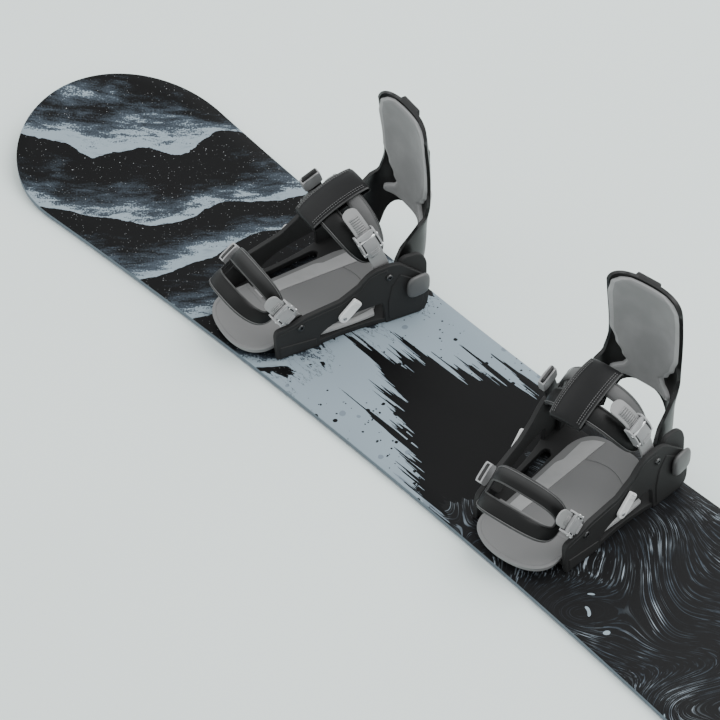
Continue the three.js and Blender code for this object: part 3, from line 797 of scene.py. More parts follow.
@dataclass(frozen=True)
class DeckPrint:
    """The lacquered print of the deck.

    The nose is a night of layered brush-drawn ridges with stars, the middle is flat slate with long
    paint runs and splashes, and the tail is dark with fine swirling brush hairs.
    """

    name: str = "deck_print"
    black: tuple[float, float, float, float] = linear(12, 12, 13)
    slate: tuple[float, float, float, float] = linear(146, 160, 169)
    deep: tuple[float, float, float, float] = linear(86, 98, 110)
    pale: tuple[float, float, float, float] = linear(176, 188, 198)
    band_pitch: float = 0.098
    torn_edge: float = -0.165
    tail_start: float = 0.16

    def material(self) -> bpy.types.Material:
        """Build the material, or find it where it is already built.

        Returns:
            The material.
        """
        known = bpy.data.materials.get(self.name)
        if known:
            return known
        material, g, shader = new_material(self.name)
        place = g.here()
        x, y, _ = g.split(place)
        nose = self.ridges(g, place, x, y)
        middle = self.paint(g, place, x, y)
        tail = self.hairs(g, place, x, y)
        ragged = g.math("MULTIPLY", g.noise(g.scaled(place, (9.0, 26.0, 0.0)), 1.0, 6.0, 0.62), 0.26)
        edge = g.math("ADD", ragged, self.torn_edge - 0.13)
        torn = g.ramp(g.math("SUBTRACT", x, edge), -0.001, 0.001)
        past = g.math("SUBTRACT", g.math("SUBTRACT", x, edge), 0.012)
        rim = g.ramp(g.math("ABSOLUTE", past), 0.0005, 0.0016, 0.55, 0.0)
        front = g.mix(torn, nose, g.mix(rim, middle, self.black))
        swept = g.math("MULTIPLY", g.noise(g.scaled(place, (5.0, 17.0, 0.0)), 1.0, 5.0, 0.6), 0.3)
        behind = g.ramp(g.math("SUBTRACT", x, g.math("ADD", swept, self.tail_start - 0.15)), -0.003, 0.003)
        color = g.mix(behind, front, tail)
        g.feed(shader.inputs["Base Color"], color)
        grain = g.add("ShaderNodeGroup", node_tree=grain_group())
        g.feed(grain.inputs["Grain scale"], 650.0)
        g.feed(shader.inputs["Roughness"], g.ramp(g.noise(place, 14.0, 4.0, 0.6), 0.3, 0.7, 0.36, 0.46))
        g.feed(shader.inputs["Normal"], g.bump(grain.outputs["Height"], 0.05, 0.0003))
        shader.inputs["Specular IOR Level"].default_value = 0.12
        return material

    def ridges(self, g: Graph, place: Socket, x: Socket, y: Socket) -> Socket:
        """Night ridges: each layer has a crisp brow and fades below into dry brush strokes.

        Args:
            g: The graph to draw in.
            place: The place on the deck.
            x: The distance along the deck.
            y: The distance across the deck.

        Returns:
            The nose's colour.
        """
        broad = g.noise(g.scaled(place, (1.0, 1.0, 0.0)), 3.2, 2.0, 0.5)
        small = g.noise(g.scaled(place, (1.0, 1.0, 0.0)), 30.0, 4.0, 0.6)
        across = g.math("ADD", g.math("MULTIPLY", x, 0.76), g.math("MULTIPLY", y, -0.65))
        wavy = g.math("ADD", across, g.math("MULTIPLY", broad, 0.34))
        wavy = g.math("ADD", wavy, g.math("MULTIPLY", small, 0.016))
        depth = g.math("FRACT", g.math("DIVIDE", wavy, self.band_pitch))
        layer = g.math("FLOOR", g.math("DIVIDE", wavy, self.band_pitch))
        run = g.add("ShaderNodeVectorRotate", {"Vector": place, "Angle": math.radians(-49.5)},
                    rotation_type="Z_AXIS").outputs[0]
        strokes = g.noise(g.scaled(run, (26.0, 95.0, 0.0)), 1.0, 6.0, 0.68, 0.5)
        patches = g.noise(g.scaled(run, (6.0, 13.0, 0.0)), 1.0, 3.0, 0.55, 0.6)
        speckle = g.noise(g.scaled(run, (1.0, 1.0, 0.0)), 420.0, 2.0, 0.6)
        rough = g.math("ADD", g.math("MULTIPLY", g.math("SUBTRACT", strokes, 0.5), 1.1),
                       g.math("MULTIPLY", g.math("SUBTRACT", speckle, 0.5), 0.55))
        fade = g.math("ADD", depth, rough)
        fade = g.math("ADD", fade, g.math("MULTIPLY", g.math("SUBTRACT", patches, 0.5), 1.3))
        dim = g.ramp(fade, 0.38, 0.95, 0.0, 0.8)
        bright = g.ramp(fade, 0.8, 0.9)
        night = self.stars(g, place)
        flecks = g.ramp(strokes, 0.56, 0.66, 0.0, 0.35)
        slate = g.mix(flecks, self.slate, self.deep)
        odd = g.ramp(g.math("FRACT", g.math("MULTIPLY", layer, 0.618)), 0.0, 1.0, 0.75, 1.0)
        shade = g.mix(g.math("MULTIPLY", dim, odd), night, self.deep)
        brow = g.ramp(depth, 0.0, 0.035, 0.7, 0.0)
        return g.mix(brow, g.mix(bright, shade, slate), self.black)

    def stars(self, g: Graph, place: Socket) -> Socket:
        """Near black with white specks of mixed brightness.

        Args:
            g: The graph to draw in.
            place: The place on the deck.

        Returns:
            The night's colour.
        """
        flat = g.scaled(place, (1.0, 1.0, 0.0))
        color: Socket | tuple[float, float, float, float] = self.black
        for scale, size, share in ((150.0, 0.12, 0.55), (330.0, 0.17, 0.5)):
            cells = g.cells(flat, scale)
            red, green, _ = g.split(cells.outputs["Color"])
            dot = g.ramp(cells.outputs["Distance"], size * 0.5, size, 1.0, 0.0)
            chosen = g.ramp(red, 1.0 - share, 1.0, 0.0, 0.9)
            glow = g.math("MULTIPLY", g.math("MULTIPLY", dot, chosen), g.ramp(green, 0.0, 1.0, 0.3, 1.0))
            color = g.mix(glow, color, (0.75, 0.78, 0.8, 1.0))
        return color

    def paint(self, g: Graph, place: Socket, x: Socket, y: Socket) -> Socket:
        """Flat slate with thin grey washes, black runs that start as spikes, and round splashes.

        Args:
            g: The graph to draw in.
            place: The place on the deck.
            x: The distance along the deck.
            y: The distance across the deck.

        Returns:
            The middle's colour.
        """
        color = g.mix(g.noise(place, 6.0, 2.0), linear(136, 150, 160), self.slate)
        for seed, start, reach, shade in ((3.1, -0.075, 0.42, linear(118, 130, 140)),
                                          (0.0, -0.165, 0.32, self.black)):
            along, lane = g.math("MULTIPLY", x, 1.3), g.math("MULTIPLY", y, 44.0)
            lanes = g.add("ShaderNodeCombineXYZ", {0: along, 1: lane, 2: seed}).outputs[0]
            spikes = g.noise(lanes, 1.0, 4.0, 0.7)
            off = g.math("ABSOLUTE", g.math("ADD", y, -0.004))
            begin = g.math("ADD", g.math("MULTIPLY", g.math("SUBTRACT", spikes, 0.5), -reach * 2.1), start)
            begin = g.math("ADD", begin, g.math("MULTIPLY", off, 1.95))
            wet = g.math("MULTIPLY", g.noise(g.scaled(place, (35.0, 60.0, 0.0)), 1.0, 3.0, 0.6), 0.035)
            run = g.ramp(g.math("SUBTRACT", x, g.math("ADD", begin, wet)), 0.0, 0.0012)
            color = g.mix(run, color, shade)
            drops = ((62.0, 0.30),) if shade != self.black else ((48.0, 0.27), (85.0, 0.26), (190.0, 0.25))
            color = self.splashes(g, place, x, color, shade, drops)
        return color

    def splashes(self, g: Graph, place: Socket, x: Socket, under: Value, shade: Value,
                 drops: Sequence[Point2]) -> Socket:
        """Drops of one colour and of mixed sizes that thin out towards the nose.

        Args:
            g: The graph to draw in.
            place: The place on the deck.
            x: The distance along the deck.
            under: The colour below the drops.
            shade: The drops' own colour.
            drops: How fine each layer of drops is, and the size of its largest.

        Returns:
            The colour with the drops on it.
        """
        flat = g.scaled(place, (1.0, 1.0, 0.0))
        stir = g.add("ShaderNodeTexNoise", {"Vector": flat, "Scale": 90.0}).outputs["Color"]
        shift = g.scaled(stir, (0.003, 0.003, 0.0))
        warped = g.add("ShaderNodeVectorMath", {0: flat, 1: shift}, operation="ADD").outputs[0]
        color = under
        near = g.ramp(x, -0.16, 0.12, 0.2, 0.75)
        crowd = g.ramp(g.noise(flat, 9.0, 2.0), 0.38, 0.62, 0.25, 1.0)
        for scale, size in drops:
            cells = g.cells(warped, scale)
            red, green, _ = g.split(cells.outputs["Color"])
            width = g.math("MULTIPLY", g.ramp(green, 0.0, 1.0, 0.25, 1.0), size)
            dot = g.math("LESS_THAN", cells.outputs["Distance"], width)
            chosen = g.math("LESS_THAN", red, g.math("MULTIPLY", near, crowd))
            color = g.mix(g.math("MULTIPLY", dot, chosen), color, shade)
        return color

    def hairs(self, g: Graph, place: Socket, x: Socket, y: Socket) -> Socket:
        """Fine pale strokes that flow round slow swirls over black.

        Args:
            g: The graph to draw in.
            place: The place on the deck.
            x: The distance along the deck; not used.
            y: The distance across the deck; not used.

        Returns:
            The tail's colour.
        """
        flat = g.scaled(place, (1.0, 1.0, 0.0))
        swirl = g.noise(flat, 5.0, 1.0, 0.4)
        angle = g.math("MULTIPLY", g.math("SUBTRACT", swirl, 0.5), 4.6)
        flow = g.add("ShaderNodeVectorRotate", {"Vector": flat, "Angle": angle, "Center": (0.45, 0.05, 0.0)},
                     rotation_type="Z_AXIS").outputs[0]
        fine = g.noise(g.scaled(flow, (26.0, 420.0, 0.0)), 1.0, 3.0, 0.6, 0.3)
        broad = g.noise(g.scaled(flow, (14.0, 120.0, 0.0)), 1.0, 2.0, 0.5, 0.2)
        clumps = g.ramp(g.noise(flat, 10.0, 3.0, 0.6), 0.34, 0.66)
        line = g.ramp(fine, 0.53, 0.62)
        bright = g.math("MULTIPLY", line, g.ramp(broad, 0.4, 0.62, 0.12, 1.0))
        share = g.math("MULTIPLY", bright, g.ramp(clumps, 0.0, 1.0, 0.2, 0.85), clamp=True)
        tone = g.mix(g.ramp(clumps, 0.5, 1.0), self.deep, self.pale)
        color = g.mix(share, linear(24, 24, 25), tone)
        cells = g.cells(g.scaled(flow, (1.0, 1.6, 0.0)), 26.0)
        red, _, _ = g.split(cells.outputs["Color"])
        blob = g.math("LESS_THAN", cells.outputs["Distance"], g.ramp(red, 0.0, 0.16, 0.16, 0.05))
        chosen = g.math("LESS_THAN", red, 0.16)
        return g.mix(g.math("MULTIPLY", blob, chosen), color, self.slate)


class Finish(Enum):
    """Every finish of the board and its bindings."""

    DECK = DeckPrint()
    SIDEWALL = Moulded("slate_sidewall", linear(84, 96, 106), linear(120, 132, 142), 0.5, 0.08, wear=0.2)
    BASE = Moulded("sintered_base", linear(26, 27, 29), linear(50, 52, 54), 0.3, 0.05, 1400.0, 0.3)
    EDGE = Metal("ground_edge", linear(176, 178, 182), 0.32, 0.35)
    CORE = Moulded("core_strips", linear(186, 148, 100), linear(200, 165, 118), 0.75, 0.3, 240.0)
    SHELL = Moulded("black_shell", linear(14, 14, 14), linear(66, 66, 66), 0.44, 0.12, wear=0.36, dust=0.015,
                    specular=0.25)
    BACK = Moulded("black_highback", linear(13, 13, 13), linear(80, 80, 80), 0.36, 0.08, wear=0.5, dust=0.01,
                   specular=0.4)
    CAP = Moulded("grey_cap", linear(92, 92, 92), linear(132, 132, 132), 0.5, 0.1, wear=0.4)
    DISC = Moulded("disc_plastic", linear(34, 34, 35), linear(80, 80, 80), 0.55, 0.2)
    RAMP = Moulded("ramp_rubber", linear(140, 140, 140), linear(186, 186, 186), 0.72, 0.22, 700.0, 0.5)
    FOOTBED = Moulded("footbed_foam", linear(136, 136, 136), linear(166, 166, 166), 0.8, 0.3, 1100.0, 0.35)
    # Paler foam of the footbed's base and ledge; on the sloped strip it is a painted highlight.
    FOOTBED_LIP = Moulded("footbed_lip", linear(172, 172, 172), linear(188, 188, 188), 0.78, 0.25, 1100.0,
                          0.3)
    LADDER = Moulded("ladder_plastic", linear(152, 152, 152), linear(186, 186, 186), 0.46, 0.08, wear=0.5)
    BUCKLE = Moulded("buckle_paint", linear(146, 146, 147), linear(206, 206, 206), 0.36, 0.05, wear=0.75)
    # A dark grey that paints the shade inside the buckle's hollow.
    HOLLOW_SHADE = Moulded("buckle_recess", linear(58, 58, 58), linear(110, 110, 110), 0.5, 0.1)
    LINK = Moulded("link_plastic", linear(30, 30, 30), linear(90, 90, 90), 0.5, 0.1)
    WHITE = Moulded("white_catch", linear(232, 232, 231), linear(246, 246, 246), 0.42, 0.08, wear=0.2,
                    dust=0.02)
    # The second colour paints a highlight along the pad's bevelled border.
    PAD = Woven("grey_pad_cloth", linear(140, 140, 140), 5200.0, 0.82, 0.16, 0.15,
                second=linear(164, 164, 164))
    STRAP = Woven("strap_cloth", linear(13, 13, 13), 4200.0, 0.42, 0.1, 0.03, second=linear(98, 98, 98))
    SLEEVE = Woven("sleeve_cloth", linear(18, 18, 19), 4200.0, 0.38, 0.12, 0.03)
    PIPING = Moulded("black_piping", linear(10, 10, 10), linear(110, 110, 110), 0.38, 0.1, wear=0.3, dust=0.0)
    THREAD = Woven("pale_thread", linear(112, 112, 112), 9000.0, 0.7, 0.1, 0.1)
    SCREW = Metal("screw_steel", linear(186, 188, 190), 0.28, 0.15)
    DARK_SCREW = Metal("blackened_screw", linear(58, 58, 59), 0.36, 0.15)
    PIN = Metal("bright_pin", linear(236, 236, 236), 0.16, 0.05)

    def material(self) -> bpy.types.Material:
        """The Blender material of this finish."""
        return self.value.material()


# ---------------------------------------------------------------- making and fitting pieces


def evaluated_copy(obj: bpy.types.Object, name: str) -> bpy.types.Mesh:
    """The mesh of an object with its modifiers applied; the object itself is removed.

    Args:
        obj: The object.
        name: Name of the mesh.

    Returns:
        The mesh.
    """
    graph = bpy.context.evaluated_depsgraph_get()
    mesh = bpy.data.meshes.new_from_object(obj.evaluated_get(graph), depsgraph=graph)
    mesh.name = name
    bpy.data.objects.remove(obj)
    return mesh


def refine(name: str, draft: Draft, bevel: float = 0.0, segments: int = 3, angle: float = 30.0,
           levels: int = 0, cuts: Iterable[Draft] = ()) -> bpy.types.Mesh:
    """Turn a draft into a finished mesh.

    Args:
        name: Name of the mesh.
        draft: The rough form.
        bevel: Radius of the rounded edges, in millimetres.
        segments: Steps in each rounded edge.
        angle: Edges sharper than this are rounded, in degrees.
        levels: Levels of subdivision.
        cuts: Closed drafts to cut away first.

    Returns:
        The finished mesh.
    """
    obj = bpy.data.objects.new(name, mesh_of(name, draft))
    bpy.context.scene.collection.objects.link(obj)
    cutters = []
    for cut in cuts:
        cutter = bpy.data.objects.new("cutter", mesh_of("cutter", cut, smooth=False))
        bpy.context.scene.collection.objects.link(cutter)
        cutters.append(cutter)
        step = obj.modifiers.new("cut", "BOOLEAN")
        step.operation, step.object, step.solver = "DIFFERENCE", cutter, "EXACT"
    if bevel:
        step = obj.modifiers.new("round", "BEVEL")
        step.width, step.segments, step.limit_method = bevel * MM, segments, "ANGLE"
        step.angle_limit, step.harden_normals = math.radians(angle), False
    if levels:
        step = obj.modifiers.new("fine", "SUBSURF")
        step.levels = step.render_levels = levels
    if bevel or cutters:
        step = obj.modifiers.new("shade", "WEIGHTED_NORMAL")
        step.keep_sharp = True
    bpy.context.view_layer.update()
    mesh = evaluated_copy(obj, name)
    for cutter in cutters:
        bpy.data.objects.remove(cutter)
    return mesh


def puffed(draft: Draft, pressure: float, reach: float) -> Draft:
    """Fill a closed form with air as cloth, then hold each point near where it began.

    Args:
        draft: The closed form, a little slimmer than the filled one.
        pressure: Air pressure inside.
        reach: Furthest that a point may move, in millimetres.

    Returns:
        The filled form.
    """
    obj = bpy.data.objects.new("filling", mesh_of("filling", draft))
    if len(obj.data.vertices) != len(draft.verts):
        log.warning("a form with doubled points was left unfilled")
        bpy.data.objects.remove(obj)
        return draft
    scene = bpy.context.scene
    scene.collection.objects.link(obj)
    cloth = obj.modifiers.new("cloth", "CLOTH")
    cloth.settings.use_pressure = True
    cloth.settings.uniform_pressure_force = pressure
    cloth.settings.mass = 0.15
    cloth.settings.quality = 6
    cloth.settings.tension_stiffness = cloth.settings.compression_stiffness = 30.0
    cloth.settings.bending_stiffness = 1.5
    cloth.settings.effector_weights.gravity = 0.0
    cloth.collision_settings.use_collision = False
    for step in range(1, FILLING_STEPS + 1):
        scene.frame_set(step)
    graph = bpy.context.evaluated_depsgraph_get()
    moved = [v.co / MM for v in obj.evaluated_get(graph).data.vertices]
    scene.frame_set(1)
    bpy.data.objects.remove(obj)
    verts = []
    for before, after in zip(draft.verts, moved):
        shift = after - Vector(before)
        if shift.length > reach:
            shift *= reach / shift.length
        verts.append(tuple(Vector(before) + shift))
    return Draft(verts, draft.faces, draft.band)


@dataclass
class Fitter:
    """Sets finished meshes on the frame and keeps the list of what was fitted."""

    fitted: list[str] = field(default_factory=list)

    def fit(self, name: str, mesh: bpy.types.Mesh, finish: Finish, body: str, slot: str,
            stands_for: Sequence[str] = (), placement: Matrix | None = None,
            fill: float | None = None) -> bpy.types.Object:
        """Make a piece of a mesh and let it ride on a body.

        Args:
            name: Name of the piece.
            mesh: Its finished mesh, which the piece takes a copy of.
            finish: Its finish.
            body: The CAD body that it moves with.
            slot: The record's material slot; not used.
            stands_for: CAD nodes that it replaces.
            placement: Where its own frame sits, when that isn't the board's.
            fill: How full it is, for a padded piece; not used.

        Returns:
            The piece.
        """
        obj = bpy.data.objects.new(name, mesh.copy())
        bpy.context.scene.collection.objects.link(obj)
        obj.matrix_world = placement or Matrix.Identity(4)
        obj.data.materials.clear()
        obj.data.materials.append(finish.material())
        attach(obj, body)
        if stands_for:
            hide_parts(*stands_for)
        self.fitted.append(name)
        log.info("fitted %s on %s", name, body)
        return obj

    def dress(self, node: str, finish: Finish) -> None:
        """Give a CAD node that stays in view its finish.

        Args:
            node: Name of the CAD node.
            finish: Its finish.
        """
        mesh = frame["nodes"][node].data
        mesh.materials.clear()
        mesh.materials.append(finish.material())
        self.fitted.append(node)
        log.info("dressed %s", node)


# ---------------------------------------------------------------- the board


@dataclass
class Board:
    """The board: lacquered deck, sidewall, steel edge and base over a wooden core."""

    length: float = 1500.0
    effective_edge: float = 1184.0
    contact: float = 1160.0
    waist: float = 252.0
    sidecut: float = 8139.0
    tip_power: float = 2.39
    tip_lift: float = 30.0
    thickness: float = 10.0
    stations: int = 150

    def half_width(self, x: float) -> float:
        """Half the width at a distance along the board.

        Args:
            x: Distance from the middle.

        Returns:
            Half the width there.
        """
        half = self.effective_edge / 2
        d = abs(x)
        if d <= half:
            return self.waist / 2 + d * d / (2 * self.sidecut)
        reach = (self.length - self.effective_edge) / 2
        t = min((d - half) / reach, 1.0)
        widest = self.waist / 2 + half * half / (2 * self.sidecut)
        drift = half / self.sidecut * reach * t * (1 - t) ** 2
        return (widest + drift) * math.sqrt(max(1 - t ** self.tip_power, 0.0))

    def lift(self, x: float) -> float:
        """Height of the base above the ground."""
        d = max(abs(x) - self.contact / 2, 0.0)
        return self.tip_lift * (d / ((self.length - self.contact) / 2)) ** 2

    def edge_line(self, inset: float) -> list[Point2]:
        """The board's outline as a loop, drawn in by an amount.

        Args:
            inset: How far in.

        Returns:
            The loop, from the tail end.
        """
        count = 2 * self.stations
        loop = []
        for k in range(count):
            turn = math.tau * (k + 0.5) / count
            x = self.length / 2 * math.cos(turn)
            loop.append((x, math.copysign(self.half_width(x), math.sin(turn))))
        return Outline(loop).inset(inset)

    def plate(self, low: float, high: float, inset: float, round_over: float) -> Draft:
        """A full layer of the board, built of sections across it.

        Args:
            low: Height of its underside.
            high: Height of its top.
            inset: How far it lies inside the edge.
            round_over: Radius of its upper edge.

        Returns:
            The layer.
        """
        rings = []
        spans = 10
        outline = self.edge_line(inset)
        half = len(outline) // 2
        for k in range(half):
            x, w = outline[k]
            w = max(w, 0.4)
            r = min(round_over, w * 0.3)
            z = self.lift(x)
            section = [(-w, z + low), (w, z + low), (w, z + high - r), (w - 0.3 * r, z + high - 0.3 * r)]
            section += [(lerp(w - r, r - w, i / spans), z + high) for i in range(spans + 1)]
            section += [(0.3 * r - w, z + high - 0.3 * r), (-w, z + high - r)]
            rings.append([(x, y, up) for y, up in section])
        return stack(rings)

    def rim(self, low: float, high: float, width: float, inset: float = 0.0) -> Draft:
        """A layer that only follows the board's edge.

        Args:
            low: Height of its underside.
            high: Height of its top.
            width: How wide it is.
            inset: How far it lies inside the edge.

        Returns:
            The layer.
        """
        outer = self.edge_line(inset)
        inner = self.edge_line(inset + width)
        section = ((outer, low), (outer, high), (inner, high), (inner, low))
        count = len(outer)

        def at(u: float, v: float) -> Point3:
            """A point round the edge and round the section.

            Args:
                u: Share of the way round the board.
                v: Share of the way round the section.

            Returns:
                The point.
            """
            loop, height = section[round(v * 4) % 4]
            x, y = loop[round(u * count) % count]
            return x, y, self.lift(x) + height

        return grid(count, 4, at, wrap_rows=True, wrap_columns=True)

    def build(self, fitter: Fitter) -> None:
        """Make every layer and fit it.

        Args:
            fitter: Sets the layers on the frame.
        """
        deck = refine("deck", self.plate(8.7, self.thickness, 0.0, 0.7))
        fitter.fit("deck", deck, Finish.DECK, "board", "topsheet", ["board_topsheet"])
        wall = refine("sidewall", self.rim(2.2, 8.6, 7.5, 0.15), bevel=0.4, segments=2)
        fitter.fit("sidewall", wall, Finish.SIDEWALL, "board", "sidewall", ["board_sidewall"])
        edge = refine("steel_edge", self.rim(0.0, 2.0, 2.2), bevel=0.25, segments=2)
        fitter.fit("steel_edge", edge, Finish.EDGE, "board", "steel_edge", ["board_edge"])
        base = refine("base", self.plate(0.0, 1.2, 2.5, 0.1))
        fitter.fit("base", base, Finish.BASE, "board", "base_sheet", ["board_base"])
        fitter.dress("board_core", Finish.CORE)


# ---------------------------------------------------------------- one binding


@dataclass
class Stance:
    """Where one binding stands, read from the frame."""

    name: str

    def placement(self) -> Matrix:
        """The binding's own frame in the frame of the board.

        Returns:
            The placement.
        """
        turn = self.joint("stance_turn")["pos_m"]
        axis = self.joint("back_fold")["axis"]
        return Matrix.Translation(turn) @ Matrix.Rotation(math.atan2(axis[1], axis[0]), 4, "Z")

    def joint(self, name: str) -> dict:
        """One of this binding's joints."""
        return next(j for j in frame["joints"] if j["name"] == f"{self.name}_{name}")


@dataclass
class Piece:
    """A finished mesh of a binding, waiting to be fitted at both stances."""

    name: str
    mesh: bpy.types.Mesh
    finish: Finish
    body: str
    slot: str
    stands_for: tuple[str, ...] = ()
    fill: float | None = None


@dataclass
class Rail:
    """The side walls of the baseplate, which splay towards the heel and lean in towards the top."""

    outer: float = 71.0
    start: float = -88.0
    splay: float = 0.1
    lean: float = 0.07
    thickness: float = 6.5

    def face(self, y: float, z: float) -> float:
        """X of the right-hand outer face."""
        return self.outer + self.splay * (y - self.start) - self.lean * z

    def on(self, side: int, depth: float) -> Callable[[Point3], Point3]:
        """A move that lays a side slab on the rail, at a depth inside its outer face."""
        return lambda v: (side * (self.face(v[1], v[2]) - depth - v[0]), v[1], v[2])

    def knob(self, side: int, y: float, z: float, profile: Sequence[Point2], sides: int = 24,
             squareness: float = 2.0, rise: float = 0.0) -> Draft:
        """A turned form that stands out of the rail's outer face.

        Args:
            side: 1 for the right, -1 for the left.
            y: Y of its middle.
            z: Height of its middle.
            profile: Radius and height off the face.
            sides: Number of sides.
            squareness: 2 for round, more for squarer.
            rise: How far it is lifted off the face.

        Returns:
            The form.
        """
        foot = self.face(y, z) + rise
        return turned(profile, sides, squareness).moved(
            lambda v: (side * (foot + v[2]), y + v[0], z + v[1]))


def screw_head(radius: float, height: float) -> list[Point2]:
    """Profile of a domed screw head with a round drive recess."""
    return [(radius, -0.6), (radius, height * 0.45), (radius * 0.86, height * 0.85), (radius * 0.6, height),
            (radius * 0.42, height), (radius * 0.4, height * 0.35)]


@dataclass
class Baseplate:
    """Baseplate with its rails, heel sides, hinge caps, catches, footbed and toe ramp."""

    rail: Rail = field(default_factory=Rail)
    floor_low: float = 0.4
    floor_top: float = 8.0
    hinge_y: float = 104.0
    hinge_z: float = 48.0
    toe_anchor: Point2 = (-56.0, 40.0)
    ankle_anchor: Point2 = (67.0, 72.0)

    def rail_outline(self) -> list[Point2]:
        """Side view of a rail: front foot, long arch, heel foot, rising top and heel wing.

        Returns:
            The outline.
        """
        line = Outline([(-90, 0.4)], steps=6)
        line.line(-31, 0.4).line(-31, 16).bend(-18, 30, 20, 33).line(52, 34).bend(58, 34, 58, 26)
        line.line(60, 0.4).line(108, 0.4).bend(119, 4, 120, 20).line(121, 42).bend(120, 52, 113, 59)
        line.line(86, 84).bend(79, 89, 66, 89).line(50, 88).bend(40, 86, 26, 72).line(0, 59)
        line.line(-48, 53).line(-66, 47).line(-84, 45).bend(-91, 44, -91, 34)
        return line.points

    def rails(self, side: int) -> Draft:
        """One rail with its raised heel panel and a raised plate on its front foot.

        Args:
            side: 1 for the right, -1 for the left.

        Returns:
            The rail.
        """
        made = side_slab(self.rail_outline(), 0.0, self.rail.thickness).moved(self.rail.on(side, 0.0))
        panel = Outline([(64, 6)], steps=3)
        panel.line(102, 5).bend(110, 8, 112, 20).line(113, 40).bend(112, 49, 105, 54).line(82, 71)
        panel.line(70, 56).line(64, 34)
        made.add(side_slab(panel.points, -1.4, 1.0).moved(self.rail.on(side, 0.0)))
        foot = [(-86, 4), (-36, 4), (-36, 15), (-86, 19)]
        made.add(side_slab(foot, -1.2, 1.0).moved(self.rail.on(side, 0.0)))
        return made

    def bead(self, side: int) -> Draft:
        """The thin ridge below the rail's top edge.

        Args:
            side: 1 for the right, -1 for the left.

        Returns:
            The bead.
        """
        marks = [(-88, 38), (-66, 42), (-48, 47.5), (0, 53.5), (27, 66), (41, 80), (52, 83), (68, 84)]
        face = self.rail.face
        line = []
        for (ya, za), (yb, zb) in zip(marks, marks[1:]):
            for i in range(6):
                y, z = lerp(ya, yb, i / 6), lerp(za, zb, i / 6)
                line.append((side * (face(y, z) + 0.1), y, z))
        return tube(line, 0.9, 6, closed=False)

    def floor_outline(self) -> list[Point2]:
        """Plan of the floor, out to the rails.

        Returns:
            The outline.
        """
        edge = self.rail.face
        line = Outline([(-52, -84)], steps=8)
        line.bend(0, -94, 52, -84).line(edge(-84, 0) - 2, -84).line(edge(-31, 0) - 2, -31)
        line.bend(edge(14, 0) - 8, 14, edge(60, 0) - 2, 60).line(edge(107, 0) - 2, 107)
        line.bend(0, 92, 2 - edge(107, 0), 107).line(2 - edge(60, 0), 60)
        line.bend(8 - edge(14, 0), 14, 2 - edge(-31, 0), -31).line(2 - edge(-84, 0), -84)
        return line.points

    def slot(self, side: int) -> Draft:
        """The open slot of the floor beside the disc.

        Args:
            side: 1 for the right, -1 for the left.

        Returns:
            What to cut away.
        """
        line = Outline([(51.5, -20)], steps=4)
        line.bend(51.5, -28, 60, -28).line(67, -28).line(71, 44).bend(71, 52, 64, 52).line(57, 46)
        return slab([(side * x, y) for x, y in line.points], -4.0, 20.0)

    def heel_side(self, side: int) -> Draft:
        """The upright plate inside the heel of a rail.

        Args:
            side: 1 for the right, -1 for the left.

        Returns:
            The plate.
        """
        line = Outline([(84, 8.6)], steps=8)
        line.line(108, 8.6).bend(121, 18, 123, 38).line(124, 66).bend(122, 84, 110, 87).line(96, 88)
        line.bend(84, 86, 84, 70)
        return side_slab(line.points, 0.0, 6.5).moved(self.rail.on(side, 7.0))

    def catch(self, side: int) -> tuple[Draft, Draft, Draft]:
        """A white side catch, its screw and the ribs on its free end.

        Args:
            side: 1 for the right, -1 for the left.

        Returns:
            The catch, its screw and its ribs.
        """
        y, z, turn = 1.0, 36.0, math.radians(42)
        outward = Vector((side, -self.rail.splay, self.rail.lean)).normalized()
        along = Vector((0.0, math.cos(turn), math.sin(turn)))
        along = (along - outward * along.dot(outward)).normalized()
        third = outward.cross(along)
        pivot = Vector((side * (self.rail.face(y, z) + 1.2), y, z))

        def laid(v: Point3) -> Point3:
            """From the catch's own plane to the rail."""
            return tuple(pivot + along * v[0] + third * v[1] + outward * v[2])

        line = Outline([(0, 7)], steps=8)
        line.points += [(7 * math.cos(a), 7 * math.sin(a)) for a in
                        (math.pi * (0.5 + k / 10) for k in range(1, 11))]
        line.line(24, -7.5).bend(27.5, -7.2, 28, -4).line(28, 5).bend(28, 7, 26, 7)
        body = slab(line.points, 0.0, 5.0).moved(laid)
        screw = turned(screw_head(2.6, 1.5), 18).moved(lambda v: laid((v[0], v[1], v[2] + 5.0)))
        grip = Draft()
        for k in range(3):
            rib = block((20 + 2.4 * k, -5.4, 4.6), (21.1 + 2.4 * k, 5.0, 5.6))
            grip.add(rib.moved(laid))
        return body, screw, grip

    def footbed_outline(self) -> list[Point2]:
        """Plan of the footbed, anticlockwise from its front left corner.

        Returns:
            The outline.
        """
        line = Outline([(-48, -58)], steps=8)
        line.line(50, -58).line(56, -30).bend(72, 12, 64, 56).line(56, 62).bend(54, 98, 24, 104)
        line.bend(0, 107, -24, 104).bend(-46, 98, -49, 66)
        return line.points

    def footbed(self) -> tuple[Draft, Draft]:
        """The footbed's lower foam and its darker top."""
        plan = Outline(self.footbed_outline())
        return slab(plan.points, 8.7, 11.6), slab(plan.inset(0.5), 11.4, 14.5)

    def footbed_strip(self) -> Draft:
        """The strip that slopes down along the footbed's left edge, in paler foam that paints the light
        falling on the slope.

        Returns:
            The strip.
        """
        line = Outline([(-47.6, -56.5)], steps=10)
        line.line(-24, -56.5).line(-16, 98).bend(-42, 90, -48.4, 62)
        made = slab(line.points, 13.8, 15.4)
        return made.moved(lambda v: (v[0], v[1], v[2] - (1.2 if v[0] < -30 and v[2] > 14 else 0.0)))

    def footbed_ledge(self) -> Draft:
        """The pale foam that fills the gap between the footbed and the right rail.

        Returns:
            The ledge.
        """
        line = Outline([(58, -34)], steps=12)
        line.line(66, -34).bend(73, 8, 74, 50).line(60, 56).bend(66, 12, 58, -34)
        return slab(line.points[:-1], 8.1, 12.6)

